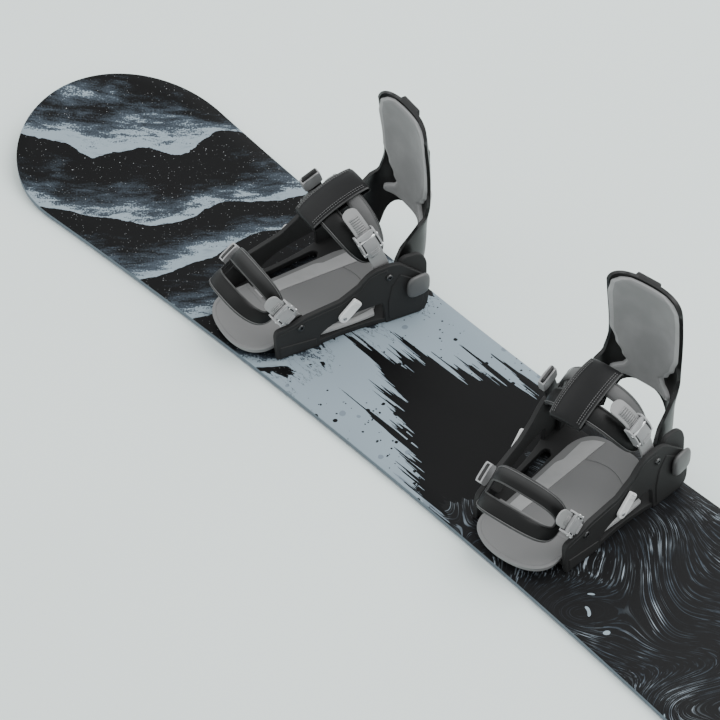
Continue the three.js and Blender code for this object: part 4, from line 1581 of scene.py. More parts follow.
    def heel_cushion(self) -> Draft:
        """The raised heel end of the footbed, bounded by a curved step.

        Returns:
            The cushion.
        """
        line = Outline([(-17, 60)], steps=10)
        line.bend(14, 76, 41, 56).line(54, 60).bend(53, 95, 24, 101).bend(4, 104, -14, 102)
        return slab(line.points, 14.0, 15.6)

    def toe_ramp(self) -> Draft:
        """Half-moon toe ramp with a raised rim round a shallow field.

        Returns:
            The ramp.
        """
        plan = Outline([(57, -59)], steps=14)
        plan.line(-54, -59).line(-53, -92)
        self.moon(plan)
        steps = ((0.0, 8.7), (0.0, 12.0), (-2.6, 15.4), (-2.2, 16.6), (1.6, 17.0), (3.0, 15.9))
        return stack([[(*p, z) for p in plan.inset(inset)] for inset, z in steps])

    @staticmethod
    def moon(plan: Outline) -> None:
        """Draw the round front of the ramp.

        Args:
            plan: The outline so far, which gains the round front.
        """
        for (c1, c2, end) in (((-50, -116), (-26, -128), (6, -128)), ((34, -128), (56, -118), (57, -94))):
            a = plan.points[-1]
            for i in range(1, plan.steps + 1):
                t = i / plan.steps
                w = ((1 - t) ** 3, 3 * t * (1 - t) ** 2, 3 * t * t * (1 - t), t ** 3)
                plan.points.append(tuple(sum(k * p[n] for k, p in zip(w, (a, c1, c2, end))) for n in (0, 1)))

    def hinge_cap(self, side: int) -> Draft:
        """The big rounded cap over the highback's hinge.

        Args:
            side: 1 for the right, -1 for the left.

        Returns:
            The cap.
        """
        profile = [(4.5, -8.0), (15.0, 0.4), (16.4, 1.2), (16.6, 3.2), (15.4, 5.2), (12.5, 6.4), (6.0, 7.0),
                   (1.0, 7.1)]
        return self.rail.knob(side, self.hinge_y, self.hinge_z, profile, 40, 3.2, 1.9)

    def pieces(self) -> list[Piece]:
        """Every piece of the baseplate and what is fixed to it.

        Returns:
            The finished pieces.
        """
        made = []
        sides = ((1, "right"), (-1, "left"))
        floor = slab(self.floor_outline(), self.floor_low, self.floor_top)
        made.append(Piece("baseplate_floor", refine("floor", floor, 0.9, cuts=[self.slot(-1)]),
                          Finish.SHELL, "base", "black_shell", ("baseplate",)))
        for side, word in sides:
            made.append(Piece(f"baseplate_rail_{word}", refine("rail", self.rails(side), 1.3, 3, 28.0),
                              Finish.SHELL, "base", "black_shell"))
            made.append(Piece(f"rail_bead_{word}", refine("bead", self.bead(side)), Finish.SHELL, "base",
                              "black_shell"))
            made.append(Piece(f"heel_side_{word}", refine("heel_side", self.heel_side(side), 2.0, 4),
                              Finish.SHELL, "base", "black_shell", (f"heel_side_{word}",)))
            made.append(Piece(f"hinge_cap_{word}", refine("cap", self.hinge_cap(side), 0.5, 2), Finish.CAP,
                              "base", "grey_cap", (f"hinge_bolt_{word}",)))
            bolts = Draft()
            for y, z in (self.toe_anchor, self.ankle_anchor):
                bolts.add(self.rail.knob(side, y, z, screw_head(4.6, 2.6)))
            made.append(Piece(f"anchor_screws_{word}", refine("screws", bolts, 0.2, 2), Finish.DARK_SCREW,
                              "base", "steel_screw"))
            body, screw, grip = self.catch(side)
            made.append(Piece(f"side_catch_{word}", refine("catch", body, 1.1, 4), Finish.WHITE,
                              f"{word}_catch", "white_plastic", (f"side_lever_{word}",)))
            made.append(Piece(f"side_catch_screw_{word}", refine("screw", screw, 0.15, 2), Finish.SCREW,
                              f"{word}_catch", "steel_screw"))
            made.append(Piece(f"side_catch_ribs_{word}", refine("ribs", grip, 0.3, 2), Finish.WHITE,
                              f"{word}_catch", "white_plastic"))
        lower, top = self.footbed()
        made.append(Piece("footbed_base", refine("footbed_base", lower, 1.0), Finish.FOOTBED_LIP, "base",
                          "footbed_foam", ("footbed",), 0.9))
        made.append(Piece("footbed_top", refine("footbed_top", top, 0.7), Finish.FOOTBED, "base",
                          "footbed_foam", (), 0.9))
        made.append(Piece("footbed_ledge", refine("footbed_ledge", self.footbed_ledge(), 0.8),
                          Finish.FOOTBED_LIP, "base", "footbed_foam", (), 0.9))
        # The strip's paler finish paints the light on the footbed's sloped left edge.
        made.append(Piece("footbed_strip", refine("footbed_strip", self.footbed_strip(), 0.4, 2),
                          Finish.FOOTBED_LIP, "base", "footbed_foam", (), 0.9))
        made.append(Piece("footbed_heel", refine("footbed_heel", self.heel_cushion(), 0.7), Finish.FOOTBED,
                          "base", "footbed_foam", (), 0.9))
        made.append(Piece("toe_ramp", refine("toe_ramp", self.toe_ramp(), 0.6), Finish.RAMP, "base",
                          "ramp_rubber", ("toe_ramp",)))
        return made


@dataclass
class Highback:
    """The tall back: a curved shell with a rim, a padded face, ribs, the lean block and its catch."""

    shell: float = 5.0
    arch: Point2 = (48.0, 88.0)
    foot: float = 33.0
    shoulder: float = 222.0
    crest: float = 254.5
    corner: float = 56.5

    def section(self, z: float, turn: float, inset: float) -> Point2:
        """X and Y of the shell at a height and a turn from the back, an inset inside its outer face.

        Args:
            z: The height.
            turn: The turn from the back.
            inset: Depth inside the outer face.

        Returns:
            X and Y.
        """
        low = 1 - smoothstep(52, 132, z)
        half, depth, square = lerp(58, 66, low), lerp(21, 88, low), lerp(2, 3.6, low)
        back = 158 - 0.0008 * (z - 150) ** 2
        x = (half - inset) * power(math.sin(turn), 2 / square)
        return x, back - depth + (depth - inset) * abs(math.cos(turn)) ** (2 / square)

    def reach(self, z: float) -> float:
        """How far the shell turns round to the front at a height.

        Args:
            z: The height.

        Returns:
            The turn of its front edge.
        """
        front = through(((54, 88), (70, 88), (92, 97), (112, 114), (132, 122)), z)
        side = through(((88, 70), (106, 61.5), (120, 56.5), (146, 54), (222, 56)), z)
        low, high = 0.0, math.pi / 2
        for _ in range(24):
            middle = (low + high) / 2
            x, y = self.section(z, middle, 0.0)
            if x <= side and y >= front:
                low = middle
            else:
                high = middle
        return low

    def limits(self, share: float) -> Point2:
        """Lowest and highest point of the column at a share of the way round.

        Args:
            share: Share of the way round, from -1 to 1.

        Returns:
            The two heights.
        """
        bottom, top = self.arch[1], self.shoulder
        for _ in range(30):
            x = abs(self.section(bottom, share * self.reach(bottom), 0.0)[0]) / self.arch[0]
            arch = (1 - x ** 2.4) ** (1 / 2.4) if x < 1 else 0.0
            bottom = lerp(bottom, self.foot + (self.arch[1] - self.foot) * arch, 0.5)
            x = abs(self.section(top, share * self.reach(top), 0.0)[0]) / self.corner
            crest = (1 - x ** 3.8) ** (1 / 3.8) if x < 1 else 0.0
            top = lerp(top, self.shoulder + (self.crest - self.shoulder) * crest, 0.5)
        return bottom, top

    def build_shell(self) -> Draft:
        """The shell, closed between its outer and inner face.

        Returns:
            The shell.
        """
        ends: dict[float, Point2] = {}

        def at(u: float, v: float, inner: float) -> Point3:
            """A point of the shell; columns crowd towards the rim.

            Args:
                u: Share of the way round.
                v: Share of the way up.
                inner: 0 on the outer face, 1 on the inner.

            Returns:
                The point.
            """
            share = math.sin(math.pi * (u - 0.5))
            if share not in ends:
                ends[share] = self.limits(share)
            bottom, top = ends[share]
            z = lerp(bottom, top, v)
            x, y = self.section(z, share * self.reach(z), self.shell * inner)
            return x, y, z

        return skin(56, 56, at)

    def on_back(self, points: Sequence[Point2], low: float, high: float) -> Draft:
        """A plate that lies on the shell's outer face, from one height above it to another.

        Args:
            points: Its outline in X and Z.
            low: Its foot above the face.
            high: Its top above the face.

        Returns:
            The plate.
        """
        def at(x: float, z: float, rise: float) -> Point3:
            """Press one point onto the back.

            Args:
                x: X of the point.
                z: Its height.
                rise: How far it lies off the face.

            Returns:
                The point.
            """
            turn = math.asin(max(min(x / 58.0, 0.98), -0.98))
            _, y = self.section(z, turn, 0.0)
            return x, y + rise, z

        return stack([[at(x, z, rise) for x, z in points] for rise in (low, high)])

    def pad(self) -> Draft:
        """The padded face with its two notches, thick in the middle and thin at its border.

        Returns:
            The pad, with a painted highlight along its border as its band.
        """
        width = ((90, 31), (94, 39), (99, 40), (107, 27), (113, 25), (121, 34), (137, 44), (162, 51),
                 (218, 52.5), (236, 50), (246, 40), (251, 24))
        low, high = 90.0, 251.0
        # Share of the second colour at each point: a painted highlight along the pad's border.
        pale = []

        def at(u: float, v: float, front: float) -> Point3:
            """A point of the pad on its back or front face.

            Args:
                u: Share of the way up.
                v: Share of the way across.
                front: 0 on the back, 1 on the front.

            Returns:
                The point.
            """
            z = lerp(low, high, u ** 1.35)
            half = through(width, z)
            x = half * math.sin(math.pi * (v - 0.5))
            border = min(half - abs(x), z - low, high - z)
            pale.append(1.0 - smoothstep(1.2, 2.8, border))
            swell = math.sqrt(max(1 - (1 - min(border / 7.0, 1.0)) ** 2, 0.0))
            inset = lerp(self.shell + 0.2, self.shell + 1.8 + 4.6 * swell, front)
            turn = math.asin(max(min(x / (58.0 - self.shell), 0.995), -0.995))
            return *self.section(z, turn, inset), z

        made = skin(84, 44, at)
        made.band = pale
        return made

    def ribs(self) -> Draft:
        """Raised lines on the back and the toothed track of the lean block.

        Returns:
            The ribs.
        """
        made = Draft()
        for side in (1, -1):
            line = [(side * 40, 124), (side * 45, 124), (side * 46, 214), (side * 41, 214)]
            made.add(self.on_back(line if side > 0 else line[::-1], -1.0, 1.6))
        for k in range(9):
            z = 180.0 + 5.0 * k
            made.add(self.on_back([(-12, z), (12, z), (12, z + 2.2), (-12, z + 2.2)], -1.0, 1.4))
        return made

    def tab(self) -> Draft:
        """The loop at the top of the shell.

        Returns:
            The loop.
        """
        line = Outline([(-25, 241)], steps=6)
        line.line(9, 241).line(9, 249).bend(9, 251, 6, 251).line(-22, 251).bend(-25, 251, -25, 249)
        return back_slab(line.points, 147.5, 157.0)

    def lean_block(self) -> Draft:
        """The block that stops the back at its lean.

        Returns:
            The block.
        """
        line = Outline([(-4, 140)], steps=5)
        line.bend(-4, 138, -2, 138).line(22, 138).bend(24, 138, 24, 140).line(24, 168).bend(24, 172, 20, 172)
        line.line(0, 172).bend(-4, 172, -4, 168)
        made = self.on_back(line.points, 1.4, 8.0)
        for k in range(4):
            z = 144.0 + 5.6 * k
            made.add(self.on_back([(0, z), (20, z), (20, z + 2.4), (0, z + 2.4)], 7.4, 8.8))
        return made

    def lean_catch(self) -> Draft:
        """The white catch that locks the lean block.

        Returns:
            The catch.
        """
        line = Outline([(2, 101)], steps=6)
        line.bend(2, 98, 6, 98).line(22, 98).bend(26, 98, 26, 102).line(26, 121).bend(26, 124, 22, 124)
        line.line(6, 124).bend(2, 124, 2, 120)
        return self.on_back(line.points, 2.2, 11.5)

    def pieces(self) -> list[Piece]:
        """Every piece of the highback.

        Returns:
            The finished pieces.
        """
        shell = refine("highback", self.build_shell(), 1.5, 4, 40.0)
        hung = self.build_hinge_straps()
        return [
            Piece("highback_shell", shell, Finish.BACK, "back", "black_shell", ("highback",)),
            Piece("highback_hinge_plates", refine("plates", hung, 1.0), Finish.SHELL, "back", "black_shell"),
            Piece("highback_ribs", refine("ribs", self.ribs(), 0.5, 2), Finish.SHELL, "back", "black_shell"),
            Piece("highback_tab", refine("tab", self.tab(), 1.4, 3), Finish.SHELL, "back", "black_shell"),
            Piece("highback_pad", refine("pad", self.pad(), levels=1), Finish.PAD, "back", "back_pad",
                  ("highback_pad",), 0.8),
            Piece("lean_block", refine("lean_block", self.lean_block(), 1.0), Finish.SHELL, "lean_stop",
                  "black_shell", ("lean_block",)),
            Piece("lean_catch", refine("lean_catch", self.lean_catch(), 1.3, 4), Finish.WHITE, "lean_catch",
                  "white_plastic", ("lean_lever",)),
        ]

    def build_hinge_straps(self) -> Draft:
        """Flat ears on the wings, round the hinge.

        Returns:
            The ears.
        """
        made = Draft()
        line = Outline([(92, 40)], steps=6)
        line.bend(92, 34, 98, 34).line(112, 36).bend(118, 38, 118, 46).line(116, 58)
        line.bend(114, 64, 106, 64).line(98, 62).bend(92, 60, 92, 54)
        for side in (1, -1):
            made.add(side_slab(line.points, 0.0, 1.6).moved(
                lambda v: (side * (self.section(v[2], 1.45, 0.0)[0] - 0.9 + v[0]), v[1], v[2])))
        return made


# ---------------------------------------------------------------- straps


@dataclass
class Curve:
    """A flat curve that can be read by the distance along it, straight on beyond its ends."""

    points: list[Point2]

    def __post_init__(self) -> None:
        """Measure the distance to every point."""
        self.marks = [0.0]
        for (ax, ay), (bx, by) in zip(self.points, self.points[1:]):
            self.marks.append(self.marks[-1] + math.hypot(bx - ax, by - ay))

    @property
    def length(self) -> float:
        """Whole length of the curve."""
        return self.marks[-1]

    def at(self, run: float) -> tuple[Point2, Point2]:
        """Place and direction at a distance along the curve.

        Args:
            run: The distance.

        Returns:
            The place and the direction.
        """
        k = max(min(bisect.bisect_right(self.marks, run) - 1, len(self.points) - 2), 0)
        (ax, ay), (bx, by) = self.points[k], self.points[k + 1]
        span = self.marks[k + 1] - self.marks[k]
        t = (run - self.marks[k]) / span
        return (lerp(ax, bx, t), lerp(ay, by, t)), ((bx - ax) / span, (by - ay) / span)


def arch_curve(half: float, crown: float, square: float, steps: int = 240) -> Curve:
    """The arch of a strap over the foot, from its right foot to its left.

    Args:
        half: Half its span.
        crown: Its height.
        square: 2 for round, more for squarer.
        steps: Number of steps.

    Returns:
        The arch.
    """
    points = []
    for k in range(steps + 1):
        turn = math.pi * k / steps
        points.append((half * power(math.cos(turn), 2 / square), crown * abs(math.sin(turn)) ** (2 / square)))
    return Curve(points)


def bent_line(foot: Point2, bend: Point2, tip: Point2, steps: int = 60) -> Curve:
    """The line of a ladder or link, from its anchor to its tip."""
    return Curve(Outline([foot], steps=steps).bend(*bend, *tip).points)


@dataclass
class Wrap:
    """Lays flat drafts, given as run, width and height off the cloth, over a strap's curve."""

    y: float
    z: float
    tilt: float
    curve: Curve
    side: int = 1

    def place(self, point: Point3) -> Point3:
        """One flat point in the binding's frame.

        Args:
            point: Run, width and height off the cloth.

        Returns:
            X, Y and Z.
        """
        run, width, off = point
        (x, up), (tx, ty) = self.curve.at(run)
        across, rise = x + off * ty, up - off * tx
        c, s = math.cos(math.radians(self.tilt)), math.sin(math.radians(self.tilt))
        return self.side * across, self.y + width * c - rise * s, self.z + width * s + rise * c

    def over(self, draft: Draft) -> Draft:
        """A draft laid over the curve."""
        return draft.moved(self.place)


def rounded_bar(run: Point2, width: Point2, off: Point2, square: float = 4.0, sides: int = 40) -> Draft:
    """A plate with a superellipse outline, from one height off the cloth to another.

    Args:
        run: Its ends along the strap.
        width: Its ends across the strap.
        off: Its lower and upper height.
        square: 2 for round, more for squarer.
        sides: Number of sides.

    Returns:
        The plate.
    """
    (ra, rb), (wa, wb) = run, width
    ring = []
    for k in range(sides):
        a = math.tau * k / sides
        ring.append(((ra + rb) / 2 + (rb - ra) / 2 * power(math.cos(a), 2 / square),
                     (wa + wb) / 2 + (wb - wa) / 2 * power(math.sin(a), 2 / square)))
    return stack([[(r, w, height) for r, w in ring] for height in off])


def ribbon(run: Point2, half: float, off: Point2, steps: int, tip: float = 0.0) -> Draft:
    """A long flat bar cut into steps so that it bends well, with its far end rounded over a length.

    Args:
        run: Its two ends.
        half: Half its width.
        off: Its lower and upper height.
        steps: Number of steps.
        tip: Length of the rounded end.

    Returns:
        The bar.
    """
    rings = []
    for i in range(steps + 1):
        r = lerp(run[0], run[1], i / steps)
        w = half
        if tip and r > run[1] - tip:
            w *= math.sqrt(max(1 - ((r - run[1] + tip) / tip) ** 2.4, 0.03))
        rings.append([(r, -w, off[0]), (r, w, off[0]), (r, w, off[1]), (r, -w, off[1])])
    return stack(rings)


@dataclass
class Ring:
    """The padded ring of a strap, flat: a superellipse band round an open window."""

    centre: float
    half_run: float
    half_width: float
    square: float
    band: float
    thick: float
    shift: float = 0.0
    front_band: float = 20.0
    rear_band: float = 15.0
    stations: int = 132
    sides: int = 16
    filling: float = 5.0
    give: float = 2.2

    def edge(self, turn: float, inset: float) -> Point2:
        """Run and width of the ring's outline at a turn, drawn in by an inset.

        An inset as deep as the band reaches the window, whose long sides lie deeper than its ends.

        Args:
            turn: The turn.
            inset: How far in.

        Returns:
            Run and width.
        """
        deep = self.rear_band if math.sin(turn) > 0 else self.front_band
        across = self.half_width - inset * deep / self.band
        run = self.centre + (self.half_run - inset) * power(math.cos(turn), 2 / self.square)
        return run, self.shift + across * power(math.sin(turn), 2 / self.square)

    def turns(self, count: int) -> list[float]:
        """Turns that space points evenly along the outline.

        Args:
            count: How many.

        Returns:
            The turns.
        """
        fine = [math.tau * k / 1440 for k in range(1441)]
        line = Curve([self.edge(a, 0.0) for a in fine])
        made = []
        for k in range(count):
            at = bisect.bisect_left(line.marks, line.length * k / count)
            made.append(fine[min(at, 1440)])
        return made

    def pad(self) -> Draft:
        """The ring as a filled tube of cloth.

        Returns:
            The filled ring.
        """
        count, sides = self.stations, self.sides
        section = []
        for k in range(sides):
            a = math.tau * k / sides
            section.append((self.band / 2 * (1 + 0.98 * power(math.cos(a), 0.62)),
                            self.thick / 2 * power(math.sin(a), 0.8)))
        verts = [(*self.edge(a, inset), off) for a in self.turns(count) for inset, off in section]
        faces = []
        for i in range(count):
            j = (i + 1) % count
            for k in range(sides):
                b = (k + 1) % sides
                faces.append((i * sides + k, i * sides + b, j * sides + b, j * sides + k))
        return puffed(Draft(verts, faces), self.filling, self.give)

    def cord(self, inset: float, off: float, radius: float) -> Draft:
        """A piping cord that follows the outline."""
        return tube([(*self.edge(a, inset), off) for a in self.turns(160)], radius, 7)


def toothed(run: Point2, half: float, pitch: float = 3.0, height: float = 0.9) -> Draft:
    """Saw teeth across a ladder.

    Args:
        run: The two ends of the row.
        half: Half its width.
        pitch: From tooth to tooth.
        height: Height of a tooth.

    Returns:
        The teeth.
    """
    made = Draft()
    r = run[0]
    while r < run[1] - pitch:
        made.add(Draft([(r, -half, 1.4), (r, half, 1.4), (r + pitch * 0.92, half, 1.4),
                        (r + pitch * 0.92, -half, 1.4), (r + pitch * 0.8, -half, 1.5 + height),
                        (r + pitch * 0.8, half, 1.5 + height)],
                       [(0, 3, 2, 1), (0, 1, 5, 4), (4, 5, 2, 3), (0, 4, 3), (1, 2, 5)]))
        r += pitch
    return made


@dataclass
class Buckle:
    """A ratchet buckle on a ladder: a frame with cheeks, a dark plate of painted shade between them, pins and
    a lever.
    """

    start: float
    end: float
    inner: float
    lever: Point2

    def frame(self) -> Draft:
        """The frame: a floor, two walls, two cheeks and a cross bar.

        Returns:
            The frame.
        """
        half = self.inner / 2 + 3.0
        made = rounded_bar((self.start, self.end), (-half, half), (-4.2, -2.4), 5.0)
        for side in (1, -1):
            w = sorted((side * (half - 2.6), side * half))
            rings = []
            for k in range(13):
                t = k / 12
                top = 5.4 + 4.4 * math.sin(math.pi * t) ** 0.8
                r = lerp(self.start, self.end, t)
                rings.append([(r, w[0], -3.8), (r, w[1], -3.8), (r, w[1], top - 1.0), (r, w[0], top)])
            made.add(stack(rings))
        bar = rounded_bar((self.end - 6.5, self.end - 1.0), (2.0 - half, half - 2.0), (2.8, 6.6), 4.0)
        return made.add(bar)

    def recess(self) -> Draft:
        """A dark plate between the cheeks, over the ladder: painted shade in the hollow under the lever."""
        half = self.inner / 2
        return rounded_bar((self.start + 2.0, self.end - 2.0), (-half, half), (2.9, 3.6), 5.0)

    def pins(self) -> Draft:
        """The bright pins that pass through the cheeks.

        Returns:
            The pins.
        """
        made = Draft()
        half = self.inner / 2 + 3.9
        for r in (self.start + 5.0, self.end - 9.5):
            rings = []
            for w in (-half, -half + 0.5, half - 0.5, half):
                size = 1.5 if abs(w) > half - 0.3 else 1.9
                circle = [math.tau * k / 14 for k in range(14)]
                rings.append([(r + size * math.cos(a), w, 5.6 + size * math.sin(a)) for a in circle])
            made.add(stack(rings))
        return made

    def lever_plate(self) -> Draft:
        """The lever: a domed plate that rises from the pin to a curled thumb end.

        Returns:
            The lever.
        """
        ra, rb = self.lever
        half = self.inner / 2 - 1.4

        def at(u: float, v: float, low: float) -> Point3:
            """A point of the plate on its upper or lower face.

            Args:
                u: Share of its length.
                v: Share of its width.
                low: 0 on the upper face, 1 on the lower.

            Returns:
                The point.
            """
            r = lerp(ra, rb, u)
            w = half * math.sin(math.pi * (v - 0.5)) * lerp(0.84, 1.0, smoothstep(0.0, 0.2, u))
            rise = 7.2 + 2.3 * math.sin(math.pi * min(u * 1.1, 1.0)) - 0.9 * (w / half) ** 2
            return r, w, rise - 2.2 * low

        made = skin(18, 10, at)
        for k in range(3):
            r = ra + 3.0 + 2.6 * k
            made.add(rounded_bar((r, r + 1.3), (3.0 - half, half - 3.0), (7.2, 9.6 + 0.25 * k), 4.0, 20))
        return made


@dataclass
class Strap:
    """A whole strap: ring, piping, ladder, buckle, lever and link."""

    name: str
    y: float
    z: float
    tilt: float
    arch: Curve
    right: Curve
    left: Curve
    ring: Ring
    ladder_end: float
    buckle: Buckle
    link_end: float
    rear_grey: Callable[[Point3], float]

    def over(self) -> Wrap:
        """The wrap over the foot."""
        return Wrap(self.y, self.z, self.tilt, self.arch)

    def right_wrap(self) -> Wrap:
        """The wrap of the ladder's line."""
        return Wrap(self.y, self.z, self.tilt, self.right)

    def left_wrap(self) -> Wrap:
        """The wrap of the link's line."""
        return Wrap(self.y, self.z, self.tilt, self.left, -1)

    def feet(self) -> Draft:
        """Rounded feet of ladder and link at the anchors.

        Returns:
            The feet.
        """
        made = Draft()
        for wrap in (self.right_wrap(), self.left_wrap()):
            made.add(wrap.over(rounded_bar((-6.0, 18.0), (-11.5, 11.5), (1.4, 2.8), 2.6)))
        return made

    def pieces(self) -> list[Piece]:
        """Every piece of the strap.

        Returns:
            The finished pieces.
        """
        arch, right, left = self.over(), self.right_wrap(), self.left_wrap()
        label = self.name
        pad = self.ring.pad().banded(self.rear_grey)
        off = self.ring.thick / 2
        cords = self.ring.cord(0.2, 0.0, 1.5)
        cords.add(self.ring.cord(self.ring.band - 0.3, 0.0, 1.3))
        edge = self.ring.cord(0.9, off - 0.2, 0.42)
        ladder = ribbon((0.0, self.ladder_end), 10.5, (-1.5, 1.5), 48, 9.0)
        teeth = toothed((42.0, self.ladder_end - 12.0), 6.5)
        link = ribbon((0.0, self.link_end), 10.6, (-1.6, 1.6), 36)
        eyes = Draft()
        for k in range(3):
            at = self.link_end * (0.34 + 0.14 * k)
            eyes.add(turned(screw_head(2.2, 0.9), 16).moved(lambda v: (at + v[0], v[1], 1.6 + v[2])))
        buckle = self.buckle
        cloth, metal = "strap_fabric", "buckle_metal"
        return [
            Piece(f"{label}_strap", refine("ring", arch.over(pad), levels=1), Finish.STRAP, label, cloth,
                  (f"{label}_strap",), 0.7),
            Piece(f"{label}_binding", refine("cords", arch.over(cords)), Finish.PIPING, label, cloth),
            Piece(f"{label}_piping", refine("edge", arch.over(edge)), Finish.THREAD, label, cloth),
            Piece(f"{label}_ladder", refine("ladder", right.over(ladder), 0.7), Finish.LADDER, label,
                  "ladder_plastic", (f"{label}_ladder",)),
            Piece(f"{label}_teeth", refine("teeth", right.over(teeth)), Finish.LADDER, label,
                  "ladder_plastic"),
            Piece(f"{label}_buckle", refine("frame", right.over(buckle.frame()), 0.7), Finish.BUCKLE, label,
                  metal, (f"{label}_buckle",)),
            # The dark plate between the buckle's cheeks is painted shade in the hollow under the lever.
            Piece(f"{label}_buckle_recess", refine("recess", right.over(buckle.recess()), 0.2, 2),
                  Finish.HOLLOW_SHADE, label, metal),
            Piece(f"{label}_buckle_pins", refine("pins", right.over(buckle.pins())), Finish.PIN, label,
                  metal),
            Piece(f"{label}_buckle_lever", refine("lever", right.over(buckle.lever_plate()), 0.6),
                  Finish.BUCKLE, f"{label}_release", metal, (f"{label}_buckle_lever",)),
            Piece(f"{label}_link", refine("link", left.over(link), 0.7), Finish.LINK, label,
                  "link_plastic", (f"{label}_link",)),
            Piece(f"{label}_link_rivets", refine("rivets", left.over(eyes)), Finish.SCREW, label,
                  "link_plastic"),
            Piece(f"{label}_strap_feet", refine("feet", self.feet(), 0.5), Finish.LINK, label,
                  "link_plastic"),
        ]


@dataclass
class AnkleSleeve:
    """The wide plain sleeve round the ankle strap, with sewn borders."""

    wrap: Wrap
    middle: float
    ends: Point2 = (-16.0, 30.0)
    half_width: float = 44.4
    crown: float = 2.2
    drop: float = 5.2

    def sag(self, width: float) -> float:
        """Height of the sleeve's middle plane at a place across it."""
        return self.crown - self.drop * (width / self.half_width) ** 2

    def closed(self) -> Draft:
        """The sleeve as a soft flattened tube, open along its length for the strap.

        Returns:
            The sleeve.
        """
        def at(u: float, v: float) -> Point3:
            """A point of the outside or inside of the tube.

            Args:
                u: Share of its length.
                v: Share of the way round.

            Returns:
                The point.
            """
            run = self.middle + lerp(*self.ends, u)
            a = math.tau * v
            puff = 1.0 + 0.25 * math.sin(math.pi * u) ** 0.6
            width = self.half_width * power(math.cos(a), 0.4)
            return run, width, self.sag(width) + 5.6 * puff * power(math.sin(a), 0.5)

        rows, columns = 26, 72
        outer = grid(rows, columns, at, wrap_columns=True)
        inner = grid(rows, columns, lambda u, v: self.shrunk(at(u, v)), wrap_columns=True)
        other = len(outer.verts)
        outer.add(inner)
        for i in (0, rows):
            for k in range(columns):
                a, b = i * columns + k, i * columns + (k + 1) % columns
                outer.faces.append((a, b, b + other, a + other))
        return outer

    def shrunk(self, p: Point3) -> Point3:
        """The point of the inner face below a point of the outer one."""
        lift = self.sag(p[1])
        return p[0], p[1] * 0.957, lift + (p[2] - lift) * 0.74

    def borders(self) -> tuple[Draft, Draft]:
        """Raised hems along both cross edges, and their double rows of stitches.

        Returns:
            The hems and the threads.
        """
        hems, threads = Draft(), Draft()
        for edge, inward in zip(self.ends, (1.0, -1.0)):
            for gap, rise, reach in ((0.8, 5.0, 42.0), (4.0, 6.9, 40.0), (6.6, 7.4, 40.0)):
                line = []
                for k in range(61):
                    width = reach * math.sin(math.pi * (k / 60 - 0.5))
                    off = self.sag(width) + rise * (1 - abs(width / self.half_width) ** 5) ** 0.2
                    line.append((self.middle + edge + gap * inward, width, off))
                if gap < 1.0:
                    hems.add(tube(line, 1.2, 8, closed=False))
                else:
                    threads.add(stitches(line, 2.1, 3.2, 0.36))
        return hems, threads

    def pieces(self) -> list[Piece]:
        """The sleeve, its hems and its stitches.

        Returns:
            The finished pieces.
        """
        hems, threads = self.borders()
        return [
            Piece("ankle_sleeve", refine("sleeve", self.wrap.over(self.closed()), levels=1), Finish.SLEEVE,
                  "ankle", "sleeve_fabric", ("ankle_sleeve",), 0.6),
            Piece("ankle_sleeve_hems", refine("hems", self.wrap.over(hems)), Finish.PIPING, "ankle",
                  "sleeve_fabric"),
            Piece("ankle_sleeve_threads", refine("threads", self.wrap.over(threads)), Finish.THREAD, "ankle",
                  "sleeve_fabric"),
        ]


def ankle_strap() -> Strap:
    """The strap over the ankle.

    Returns:
        The strap.
    """
    arch = arch_curve(62.0, 84.0, 2.7)
    half = arch.length / 2
    ring = Ring(half - 2, half - 24, 30.5, 2.4, 13.0, 5.5, -1.5, 27.0, 19.5)
    right = bent_line((68, -6), (76, 90), (34, 97))
    left = bent_line((66, -6), (74.5, 62), (62, 84))
    buckle = Buckle(52.0, 84.0, 22.0, (50.0, 78.0))
    return Strap("ankle", 67.0, 72.0, 20.0, arch, right, left, ring, 118.0, buckle, 88.0,
                 lambda p: smoothstep(6.0, 10.0, p[1]))


def toe_strap() -> Strap:
    """The strap over the toes.

    Returns:
        The strap.
    """
    arch = arch_curve(54.0, 66.0, 3.0)
    half = arch.length / 2
    ring = Ring(half, half - 30, 30.5, 3.0, 13.0, 3.8, -11.0, 21.0, 20.5)
    right = bent_line((55.5, -6), (74.5, 60), (47, 84))
    left = bent_line((55.5, -6), (73, 56), (50, 80))
    buckle = Buckle(30.0, 56.0, 22.0, (28.0, 52.0))
    return Strap("toe", -56.0, 40.0, 35.0, arch, right, left, ring, 76.0, buckle, 50.0,
                 lambda p: 0.48 * smoothstep(-30.0, 26.0, p[1] + 9.0))


def link_clip(strap: Strap, start: float, end: float, stands_for: tuple[str, ...] = ()) -> Piece:
    """The clip that sets the length of a link.

    Args:
        strap: The strap it is on.
        start: Its near end along the link.
        end: Its far end.
        stands_for: CAD nodes that it replaces.

    Returns:
        The clip.
    """
    clip = rounded_bar((start, end), (-13.4, 13.4), (-4.2, -1.9), 5.0)
    clip.add(rounded_bar((start, end), (-13.4, 13.4), (2.2, 4.6), 5.0))
    clip.add(rounded_bar((start + 4.0, end - 4.0), (-7.0, 7.0), (4.2, 6.0), 4.0))
    for side in (1, -1):
        w = sorted((side * 11.2, side * 13.4))
        clip.add(rounded_bar((start + 1.0, end - 1.0), (w[0], w[1]), (-3.6, 4.2), 6.0, 20))
    return Piece(f"{strap.name}_link_clip", refine("clip", strap.left_wrap().over(clip), 0.5), Finish.BUCKLE,
                 strap.name, "buckle_metal", stands_for)


